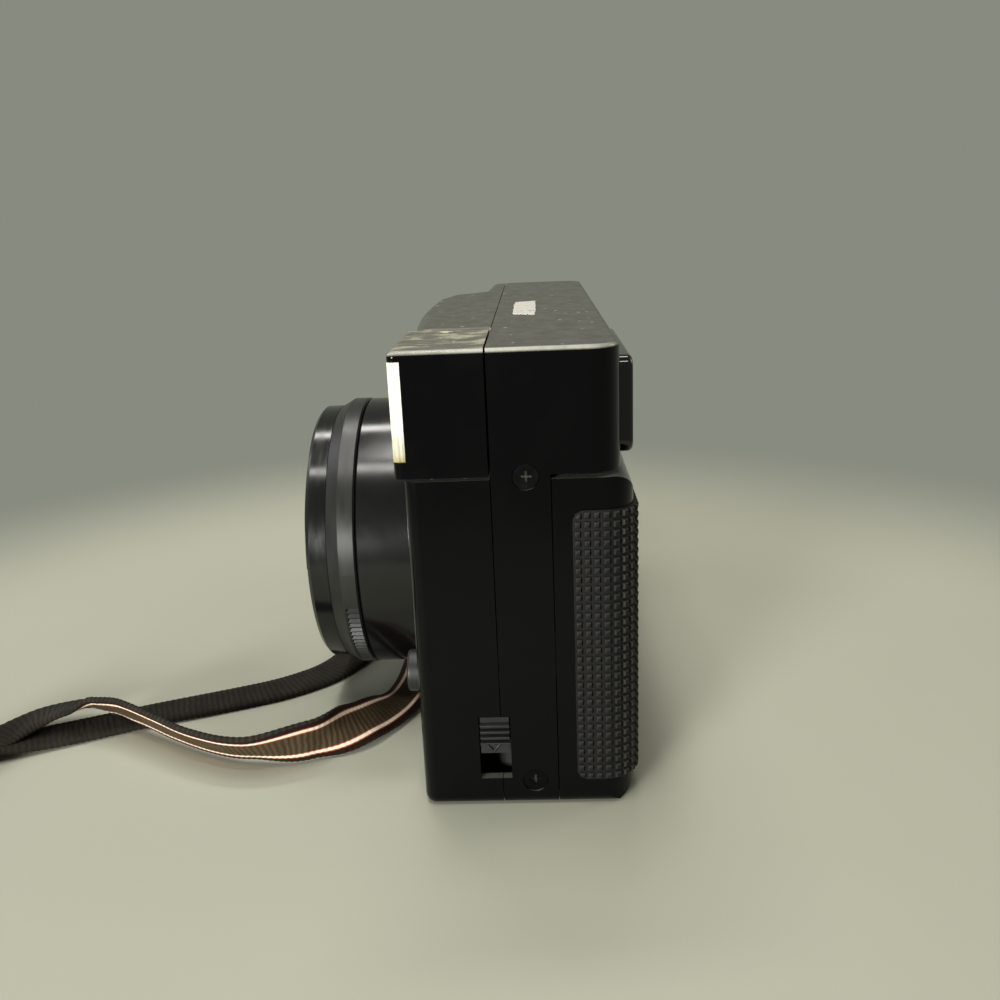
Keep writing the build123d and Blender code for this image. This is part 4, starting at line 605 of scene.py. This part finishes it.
def makeStrap(settings, material):
    line = strapLine(settings)
    half, thick = settings["width"] / 2, settings["thickness"] / 2
    across = [-0.94, -0.62, -0.2, 0.2, 0.62, 0.94]
    rows, places = [], [p for p, _ in line]
    for i, (centre, twist) in enumerate(line):
        ahead = (places[min(i + 2, len(line) - 1)] - places[max(i - 2, 0)]).normalized()
        # face up where it lies, and towards the body where it hangs
        hang = min(max((centre.z - settings["hangFrom"]) / settings["hangOver"], 0), 1)
        hang = hang * hang * (3 - 2 * hang)
        up = Vector((hang, 0, 1 - hang))
        face = (up - up.dot(ahead) * ahead).normalized()
        face = Matrix.Rotation(twist, 3, ahead) @ face
        side = ahead.cross(face)
        along = i * settings["step"]
        rib = math.cos(2 * math.pi * along / settings["ribPitch"])
        wide = half + settings["scallop"] * rib - settings["scallop"]
        deep = thick - settings["ribDepth"] * (0.5 - 0.5 * rib)
        ring = [(a * wide, deep) for a in across] + [(wide, 0)]
        ring += [(-a * wide, -deep) for a in across] + [(-wide, 0)]
        rows.append([centre + side * w + face * d for w, d in ring])
    mesh = bpy.data.meshes.new("wristStrap")
    build = bmesh.new()
    uv = build.loops.layers.uv.new("ribbon")
    vertices = [[build.verts.new(p) for p in row] for row in rows]
    size = len(rows[0])
    # u runs across the striped face from 1 to 2 and across the plain face from 0 to 1
    edgeU = [(a + 1) / 2 for a in across] + [1.0] + [1 + (a + 1) / 2 for a in across] + [2.0, 2.0]
    for i in range(len(rows) - 1):
        for j in range(size):
            k = (j + 1) % size
            face = build.faces.new((vertices[i][j], vertices[i + 1][j], vertices[i + 1][k], vertices[i][k]))
            nextU = edgeU[j + 1] if j + 1 < size else 2.03
            for loop, u, v in zip(face.loops, (edgeU[j], edgeU[j], nextU, nextU), (i, i + 1, i + 1, i)):
                loop[uv].uv = (u, v * settings["step"] * 1000)
    build.faces.new(list(reversed(vertices[0])))
    build.faces.new(vertices[-1])
    bmesh.ops.recalc_face_normals(build, faces=build.faces)
    build.to_mesh(mesh)
    build.free()
    piece = bpy.data.objects.new("wristStrap", mesh)
    bpy.context.collection.objects.link(piece)
    mesh.materials.append(material)
    for polygon in mesh.polygons:
        polygon.use_smooth = True
    return piece, places


# Polyester webbing: uneven ribs across it, and on one face two cream pinstripes edged in orange
webbing = {
    "plain": "#191611", "worn": "#3a362e", "middle": "#33291d", "middleWorn": "#66563f",
    "border": "#21120c", "orange": "#9c4f30", "cream": "#f3e6d2",
    "stripe": 0.31, "creamWide": 0.036, "orangeWide": 0.060, "selvedge": 0.47,
}
strapWeave, tree, shader, place = newMaterial(
    "wovenPolyester",
    {"Roughness": 0.85, "Specular IOR Level": 0.15, "Sheen Weight": 0.02, "Sheen Roughness": 0.5},
)
uv = addNode(tree, "TexCoord").outputs["UV"]
split = addNode(tree, "SeparateXYZ", {}, {0: uv})
sway = addNode(tree, "TexNoise", {"Scale": 420.0, "Detail": 2.0}, {"Vector": place})
phase = addNode(
    tree, "Math", {"operation": "MULTIPLY", 1: 2 * math.pi / (strapSettings["ribPitch"] * 1000)},
    {0: split.outputs["Y"]},
)
phase = addNode(tree, "Math", {"operation": "MULTIPLY_ADD", 1: 5.0}, {0: sway, 2: phase})
ribs = addNode(tree, "Math", {"operation": "COSINE"}, {0: phase})
ribs = addNode(tree, "MapRange", {"From Min": -1.0, "To Min": 0.25}, {"Value": ribs})
fuzz = addNode(tree, "TexNoise", {"Scale": 900.0, "Detail": 3.0}, {"Vector": place})
blotch = addNode(tree, "TexNoise", {"Scale": 260.0, "Detail": 2.0}, {"Vector": place})
tone = addNode(tree, "Math", {"operation": "MULTIPLY"}, {0: ribs, 1: blotch})
plainFace = addNode(tree, "Mix", {"data_type": "RGBA", 6: webbing["plain"], 7: webbing["worn"]}, {0: tone})
cloth = addNode(
    tree, "Mix", {"data_type": "RGBA", 6: webbing["middle"], 7: webbing["middleWorn"]}, {0: tone}
)
aside = addNode(tree, "Math", {"operation": "SUBTRACT", 1: 1.5}, {0: split.outputs["X"]})
aside = addNode(tree, "Math", {"operation": "ABSOLUTE"}, {0: aside})
outer = addNode(tree, "Math", {"operation": "GREATER_THAN", 1: webbing["stripe"]}, {0: aside})
cloth = addNode(tree, "Mix", {"data_type": "RGBA", 7: webbing["border"]}, {0: outer, 6: cloth.outputs[2]})
off = addNode(tree, "Math", {"operation": "SUBTRACT", 1: webbing["stripe"]}, {0: aside})
off = addNode(tree, "Math", {"operation": "ABSOLUTE"}, {0: off})
for colour, wide in ((webbing["orange"], webbing["orangeWide"]), (webbing["cream"], webbing["creamWide"])):
    inside = addNode(tree, "Math", {"operation": "LESS_THAN", 1: wide}, {0: off})
    cloth = addNode(tree, "Mix", {"data_type": "RGBA", 7: colour}, {0: inside, 6: cloth.outputs[2]})
# the selvedge, where the striped face turns over the edge, is as plain as the other face
isStriped = addNode(tree, "Math", {"operation": "LESS_THAN", 1: webbing["selvedge"]}, {0: aside})
cloth = addNode(
    tree, "Mix", {"data_type": "RGBA"}, {0: isStriped, 6: plainFace.outputs[2], 7: cloth.outputs[2]}
)
tree.links.new(cloth.outputs[2], shader.inputs["Base Color"])
weave = addNode(tree, "Math", {"operation": "MULTIPLY_ADD", 1: 0.5}, {0: fuzz, 2: ribs})
weaveBump = addNode(tree, "Bump", {"Strength": 0.7, "Distance": 0.0001}, {"Height": weave})
tree.links.new(weaveBump.outputs[0], shader.inputs["Normal"])

deselectAll()
strap, strapPath = makeStrap(strapSettings, strapWeave)
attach(strap, "camera_body")
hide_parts("wrist_strap")
print("strap made:", round(sum((b - a).length for a, b in zip(strapPath, strapPath[1:])), 4), "m")


# Waffle rubber pads: a grid of raised square cells, bent round the door's rear corner

waffle = {
    "pitch": 0.001513,
    "rise": 0.0008,
    "dome": 0.00005,
    "floor": 0.00035,
    "groove": 0.00020,
    "slope": 0.00022,
    "corner": 0.0017,
    "low": 0.0048,
    "high": 0.0517,
    "colour": "#080808",
    "shade": "#0e0e0d",
    "rim": "#403e3a",
}

# Moulded rubber: near black; the cells' rims are a little rubbed and dusty all round, with a painted
# highlight where they face up and forward, towards the light
padRubber, tree, shader, place = newMaterial("mouldedBlackRubber", {"Specular IOR Level": 0.25})
cloud = finishSurface(tree, shader, place, (0.5, 0.68), 2.5, 0.18, 0.010)
base = addNode(tree, "Mix", {"data_type": "RGBA", 6: waffle["colour"], 7: waffle["shade"]}, {0: cloud})
facing = addNode(tree, "NewGeometry").outputs["Normal"]
lit = addNode(
    tree, "VectorMath", {"operation": "DOT_PRODUCT", 1: (0.0, -0.45, 0.9)}, {0: facing}
).outputs["Value"]
lit = addNode(
    tree, "MapRange", {"From Min": -0.1, "From Max": 0.7, "To Min": 0.05, "To Max": 0.9}, {"Value": lit}
)
rim = addNode(tree, "Attribute", {"attribute_name": "rim"}).outputs["Fac"]
# rims mixed towards the rim colour: slight wear all round, and painted highlight where they face the light
worn = addNode(tree, "Math", {"operation": "MULTIPLY"}, {0: rim, 1: lit})
base = addNode(tree, "Mix", {"data_type": "RGBA", 7: waffle["rim"]}, {0: worn, 6: base.outputs[2]})
tree.links.new(base.outputs[2], shader.inputs["Base Color"])


# A flat grid of raised cells, x across and y up, standing on z=0
def makeWaffleSheet(name, width, height, settings):
    columns = round(width / settings["pitch"])
    rows = round(height / settings["pitch"])
    deselectAll()
    bpy.ops.mesh.primitive_grid_add(x_subdivisions=columns, y_subdivisions=rows, size=1)
    sheet = bpy.context.object
    sheet.name = name
    sheet.scale = (width, height, 1)
    bpy.ops.object.transform_apply(location=False, rotation=False, scale=True)
    bpy.ops.object.mode_set(mode="EDIT")
    bpy.ops.mesh.select_mode(type="FACE")
    bpy.ops.mesh.select_all(action="SELECT")
    bpy.ops.mesh.inset(thickness=settings["groove"], depth=0, use_individual=True)
    bpy.ops.mesh.inset(
        thickness=settings["slope"], depth=settings["rise"] - settings["floor"], use_individual=True
    )
    bpy.ops.mesh.inset(thickness=settings["slope"], depth=settings["dome"], use_individual=True)
    # a skirt all round, down to the surface that the pad is glued on
    bpy.ops.mesh.select_mode(type="EDGE")
    bpy.ops.mesh.select_all(action="SELECT")
    bpy.ops.mesh.region_to_loop()
    bpy.ops.mesh.extrude_region_move(TRANSFORM_OT_translate={"value": (0, 0, -settings["floor"])})
    bpy.ops.mesh.edge_face_add()
    bpy.ops.object.mode_set(mode="OBJECT")
    rim = sheet.data.attributes.new("rim", "FLOAT", "POINT")
    for vertex in sheet.data.vertices:
        vertex.co.z += settings["floor"]
        rim.data[vertex.index].value = float(abs(vertex.co.z - settings["rise"]) < 0.00001)
        # square corners become quarter circles
        x, y = vertex.co.x, vertex.co.y
        over = abs(x) - width / 2 + settings["corner"], abs(y) - height / 2 + settings["corner"]
        if min(over) > 0:
            share = max(over) / math.hypot(*over)
            vertex.co.x = math.copysign(width / 2 - settings["corner"] + over[0] * share, x)
            vertex.co.y = math.copysign(height / 2 - settings["corner"] + over[1] * share, y)
    return sheet


doorEdge = {"side": 0.053, "back": 0.0177, "corner": 0.005, "padStart": 0.0079, "padEnd": 0.031}


# The pad's run along the door's side, its run round the corner, and its whole run
def padRuns(edge):
    straight = edge["back"] - edge["corner"] - edge["padStart"]
    arc = edge["corner"] * math.pi / 2
    return straight, arc, straight + arc + edge["side"] - edge["corner"] - edge["padEnd"]


# Bends the flat sheet: its x becomes the way along the door's side, corner and back
def bendRoundDoor(sheet, settings, edge):
    straight, arc, total = padRuns(edge)
    middle = (settings["low"] + settings["high"]) / 2
    for vertex in sheet.data.vertices:
        s, up, out = vertex.co.x + total / 2, vertex.co.y, vertex.co.z
        if s < straight:
            x, y, nx, ny = edge["side"], edge["padStart"] + s, 1, 0
        elif s < straight + arc:
            angle = (s - straight) / edge["corner"]
            nx, ny = math.cos(angle), math.sin(angle)
            x = edge["side"] - edge["corner"] + edge["corner"] * nx
            y = edge["back"] - edge["corner"] + edge["corner"] * ny
        else:
            x, y, nx, ny = edge["side"] - edge["corner"] - (s - straight - arc), edge["back"], 0, 1
        vertex.co = (x + nx * out, y + ny * out, middle + up)


sidePad = makeWaffleSheet("sidePad", padRuns(doorEdge)[2], waffle["high"] - waffle["low"], waffle)
bendRoundDoor(sidePad, waffle, doorEdge)
pick(sidePad)
bpy.ops.object.mode_set(mode="EDIT")
turnOutward()
settle("sidePad", padRubber, "door", 32)
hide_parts("grip_pad")

low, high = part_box("front_pad")
handPad = makeWaffleSheet("handPad", high[0] - low[0], high[2] - low[2], waffle)
for vertex in handPad.data.vertices:
    x, up, out = vertex.co
    vertex.co = ((low[0] + high[0]) / 2 - x, high[1] - out, (low[2] + high[2]) / 2 + up)
pick(handPad)
bpy.ops.object.mode_set(mode="EDIT")
turnOutward()
settle("handPad", padRubber, "camera_body", 32)
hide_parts("front_pad")
print("pads made")


# Thread ridges: one turned helix of triangular section, closed at both ends

# height of the lens axis, for the filter thread and the shutter leaves
lensHeight = 0.0324
filterThread = {
    "root": 0.02372, "crest": 0.02330, "pitch": 0.00075, "turns": 3, "axis": "Y",
    "start": (0, -0.0386, lensHeight),
}
tripodThread = {
    "root": 0.00323, "crest": 0.00285, "pitch": 0.00127, "turns": 4, "start": (0, 0, 0.0006), "axis": "Z",
}


def makeThread(name, material, settings):
    along = -1 if settings["axis"] == "Y" else 1
    deselectAll()
    bpy.ops.mesh.primitive_circle_add(vertices=3, radius=0.001)
    ridge = bpy.context.object
    section = [(settings["root"], 0.04), (settings["crest"], 0.5), (settings["root"], 0.96)]
    for vertex, (radius, share) in zip(ridge.data.vertices, section):
        step = along * share * settings["pitch"]
        vertex.co = (radius, step, 0) if settings["axis"] == "Y" else (radius, 0, step)
    addModifier(
        ridge, "SCREW", axis=settings["axis"], screw_offset=along * settings["pitch"], angle=2 * math.pi,
        steps=72, render_steps=72, iterations=settings["turns"], use_normal_calculate=True,
    )
    bpy.ops.object.mode_set(mode="EDIT")
    bpy.ops.mesh.select_all(action="SELECT")
    bpy.ops.mesh.remove_doubles(threshold=0.000001)
    bpy.ops.mesh.fill_holes(sides=4)
    turnOutward()
    ridge.location = settings["start"]
    return settle(name, material, "camera_body", 40)


makeThread("filterThreadRidge", finishes["ringAnodised"], filterThread)
makeThread("tripodThreadRidge", finishes["turnedBrass"], tripodThread)
print("threads made")


# Shutter leaves, closed behind the front glass: five thin discs cut straight, each over the next

leaves = {
    "count": 5, "radius": 0.0078, "offset": 0.0034, "overlap": 0.0006, "tilt": 0.12, "thick": 0.00008,
    "spacing": 1.5, "front": -0.0222,
}
pieces = []
for i in range(leaves["count"]):
    deselectAll()
    bpy.ops.mesh.primitive_circle_add(vertices=48, radius=leaves["radius"], fill_type="NGON")
    leaf = bpy.context.object
    bpy.ops.object.mode_set(mode="EDIT")
    bpy.ops.mesh.select_all(action="SELECT")
    bpy.ops.transform.translate(value=(leaves["offset"], 0, 0))
    bpy.ops.mesh.select_all(action="SELECT")
    bpy.ops.mesh.bisect(
        plane_co=(0, -leaves["overlap"], 0), plane_no=(leaves["tilt"], -1, 0),
        use_fill=False, clear_outer=True,
    )
    bpy.ops.mesh.select_all(action="SELECT")
    bpy.ops.mesh.extrude_region_move(TRANSFORM_OT_translate={"value": (0, 0, leaves["thick"])})
    turnOutward()
    # from the table's plane to the lens's, and round the axis to this leaf's place
    leaf.matrix_world = (
        Matrix.Translation((0, leaves["front"] + i * leaves["spacing"] * leaves["thick"], lensHeight))
        @ Matrix.Rotation(2 * math.pi * i / leaves["count"], 4, "Y")
        @ Matrix.Rotation(math.pi / 2, 4, "X")
    )
    pieces.append(leaf)
joinAll(pieces)
settle("shutterLeaves", finishes["blackSteel"], "camera_body")
print("shutter leaves made")


# Frame numbers on the counter's dial, every fourth frame, read through the window in the top

counter = {
    "centre": (-0.0533, -0.0118), "top": 0.06843, "radius": 0.0029, "digit": 0.0015, "thick": 0.00003,
    "numbers": 10, "frames": 4, "turn": 30,
}
printedInk = makeFinish("printedBlackInk", "#151515", "#1f1f1f", (0.5, 0.6), 2.0, 0.2, 0.001)
pieces = []
for i in range(counter["numbers"]):
    deselectAll()
    bpy.ops.object.text_add()
    digit = bpy.context.object
    digit.data.body = str(counter["frames"] * i)
    digit.data.size = counter["digit"]
    digit.data.extrude = counter["thick"]
    digit.data.align_x = "CENTER"
    digit.data.align_y = "CENTER"
    bpy.ops.object.convert(target="MESH")
    digit = bpy.context.object
    digit.matrix_world = (
        Matrix.Translation((*counter["centre"], counter["top"]))
        @ Matrix.Rotation(math.radians(counter["turn"] * i), 4, "Z")
        @ Matrix.Translation((0, -counter["radius"], 0))
    )
    pieces.append(digit)
joinAll(pieces)
settle("frameNumbers", printedInk, "frame_dial")
print("frame numbers made")


# Raised chevron on the latch's knob

chevron = {
    "face": 0.0527, "rise": 0.00032, "wide": 0.00034, "bevel": 0.00012, "tip": (-0.00586, 0.0101),
    "ends": [(-0.0068, 0.0112), (-0.0046, 0.0117)],
}
pieces = []
for end in chevron["ends"]:
    run = Vector(end) - Vector(chevron["tip"])
    middle = Vector(end) / 2 + Vector(chevron["tip"]) / 2
    deselectAll()
    bpy.ops.mesh.primitive_cube_add(size=1)
    bar = bpy.context.object
    bar.scale = (2 * chevron["rise"], run.length + chevron["wide"] / 2, chevron["wide"])
    bpy.ops.object.transform_apply(location=False, rotation=False, scale=True)
    bpy.ops.object.mode_set(mode="EDIT")
    bpy.ops.mesh.select_all(action="SELECT")
    bpy.ops.mesh.bevel(offset=chevron["bevel"], segments=3, affect="EDGES")
    bpy.ops.object.mode_set(mode="OBJECT")
    bar.rotation_euler = (math.atan2(run.y, run.x), 0, 0)
    bar.location = (chevron["face"], middle.x, middle.y)
    pieces.append(bar)
joinAll(pieces)
settle("latchChevron", finishes["keyPlastic"], "latch", 40)


# Torn paper label on the top cover, its print rubbed away to grey smudges

label = {
    "middle": (-0.0045, 0.00108), "size": (0.0290, 0.0044), "lift": 0.07702, "thick": 0.00009,
    "ragged": 0.00022, "paper": "#e9e7df", "shade": "#d6d3c8", "smudge": "#6d6d68",
}
# x, y of a point on each tear and the way its waste lies
tears = [
    ((-0.0195, 0.0016), (-0.75, -0.66)), ((-0.0170, -0.0006), (-0.93, -0.37)),
    ((0.0075, -0.0004), (0.9, -0.5)), ((0.0095, 0.0025), (0.98, 0.2)),
    ((-0.012, -0.00105), (-0.05, -1)), ((0.004, 0.0032), (0.03, 1)),
]
deselectAll()
bpy.ops.mesh.primitive_grid_add(x_subdivisions=56, y_subdivisions=10, size=1)
sticker = bpy.context.object
sticker.scale = (*label["size"], 1)
sticker.location = (*label["middle"], label["lift"])
bpy.ops.object.transform_apply(location=True, rotation=False, scale=True)
bpy.ops.object.mode_set(mode="EDIT")
for place, way in tears:
    bpy.ops.mesh.select_all(action="SELECT")
    bpy.ops.mesh.bisect(plane_co=(*place, 0), plane_no=(*way, 0), use_fill=False, clear_outer=True)
selectWhere(lambda edge: edge.is_boundary, "EDGE")
bpy.ops.transform.vertex_random(offset=label["ragged"], seed=7)
bpy.ops.mesh.select_all(action="SELECT")
bpy.ops.transform.resize(value=(1, 1, 0), center_override=(0, 0, label["lift"]))
bpy.ops.mesh.extrude_region_move(TRANSFORM_OT_translate={"value": (0, 0, label["thick"])})
turnOutward()
labelPaper, tree, shader, place = newMaterial(
    "coatedLabelPaper", {"Subsurface Weight": 0.1, "Subsurface Scale": 0.0003}
)
cloud = finishSurface(tree, shader, place, (0.55, 0.7), 3.0, 0.12, 0.01)
smudge = addNode(tree, "TexNoise", {"Scale": 620.0, "Detail": 4.0, "Distortion": 1.2}, {"Vector": place})
smudge = addNode(tree, "MapRange", {"From Min": 0.56, "From Max": 0.68, "To Max": 0.65}, {"Value": smudge})
paper = addNode(tree, "Mix", {"data_type": "RGBA", 6: label["paper"], 7: label["shade"]}, {0: cloud})
paper = addNode(tree, "Mix", {"data_type": "RGBA", 7: label["smudge"]}, {0: smudge, 6: paper.outputs[2]})
tree.links.new(paper.outputs[2], shader.inputs["Base Color"])
settle("priceLabel", labelPaper, "camera_body")
print("label made")


# Vinyl keeper that holds both ends of the strap, sewn through in two rows

keeper = {
    "middle": (-0.0810, -0.0110, 0.0495), "size": (0.0038, 0.0094, 0.0130), "round": 0.0009,
    "waist": (0.9, 0.93, 1), "border": 0.0009, "press": 0.00025, "pressDepth": 0.00022,
    "stitches": 6, "stitch": 0.0013, "stitchStep": 1.35, "thread": 0.00022, "flat": 1.4, "sink": 0.0001,
    "rows": 0.0033,
}
deselectAll()
bpy.ops.mesh.primitive_cube_add(size=1, location=keeper["middle"])
tab = bpy.context.object
tab.scale = keeper["size"]
bpy.ops.object.transform_apply(location=True, rotation=False, scale=True)
bpy.ops.object.mode_set(mode="EDIT")
bpy.ops.mesh.select_all(action="SELECT")
bpy.ops.mesh.bevel(offset=keeper["round"], segments=3, affect="EDGES")
bpy.ops.mesh.select_all(action="SELECT")
bpy.ops.mesh.bisect(plane_co=keeper["middle"], plane_no=(0, 0, 1), use_fill=False)
bpy.ops.transform.resize(value=keeper["waist"], center_override=keeper["middle"])
# a pressed border round both broad faces
selectWhere(lambda face: abs(face.normal.x) > 0.9 and face.calc_area() > 0.00001)
bpy.ops.mesh.inset(thickness=keeper["border"], depth=0)
bpy.ops.mesh.inset(thickness=keeper["press"], depth=-keeper["pressDepth"])
bpy.ops.object.mode_set(mode="OBJECT")
addModifier(tab, "SUBSURF", levels=2, render_levels=2)
settle("strapTab", finishes["pressedVinyl"], "camera_body", 50)
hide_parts("strap_keeper")

waxedThread = makeFinish("waxedThread", "#2a2520", "#4a4138", (0.5, 0.65), 0.6, 0.08, 0.03)
pieces = []
for side in (-1, 1):
    for row in (-1, 1):
        for i in range(keeper["stitches"]):
            deselectAll()
            bpy.ops.mesh.primitive_uv_sphere_add(segments=10, ring_count=7, radius=0.5)
            stitch = bpy.context.object
            stitch.scale = (2 * keeper["thread"], keeper["flat"] * keeper["thread"], keeper["stitch"])
            stitch.location = (
                keeper["middle"][0] + side * (keeper["size"][0] / 2 - keeper["sink"]),
                keeper["middle"][1] + row * keeper["rows"],
                keeper["middle"][2]
                + (i - keeper["stitches"] / 2 + 0.5) * keeper["stitchStep"] * keeper["stitch"],
            )
            pieces.append(stitch)
joinAll(pieces)
settle("tabStitching", waxedThread, "camera_body", 60)
print("strap tab made")


# Foam strip that shuts out light at the door's hinge side: soft, round-edged and slightly uneven

foam = {"cuts": 24, "round": 0.0005, "uneven": 0.00005}
low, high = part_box("light_seal")
deselectAll()
bpy.ops.mesh.primitive_cube_add(size=1, location=[(a + b) / 2 for a, b in zip(low, high)])
strip = bpy.context.object
strip.scale = [b - a for a, b in zip(low, high)]
bpy.ops.object.transform_apply(location=True, rotation=False, scale=True)
bpy.ops.object.mode_set(mode="EDIT")
bpy.ops.mesh.select_all(action="SELECT")
bpy.ops.mesh.bevel(offset=foam["round"], segments=2, affect="EDGES")
selectWhere(lambda edge: abs((edge.verts[0].co - edge.verts[1].co).z) > 0.01, "EDGE")
bpy.ops.mesh.subdivide(number_cuts=foam["cuts"])
bpy.ops.mesh.select_all(action="SELECT")
bpy.ops.transform.vertex_random(offset=foam["uneven"], seed=3)
bpy.ops.object.mode_set(mode="OBJECT")
settle("hingeFoam", finishes["sealFoam"], "door", 60)
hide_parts("light_seal")
print("foam strip made")
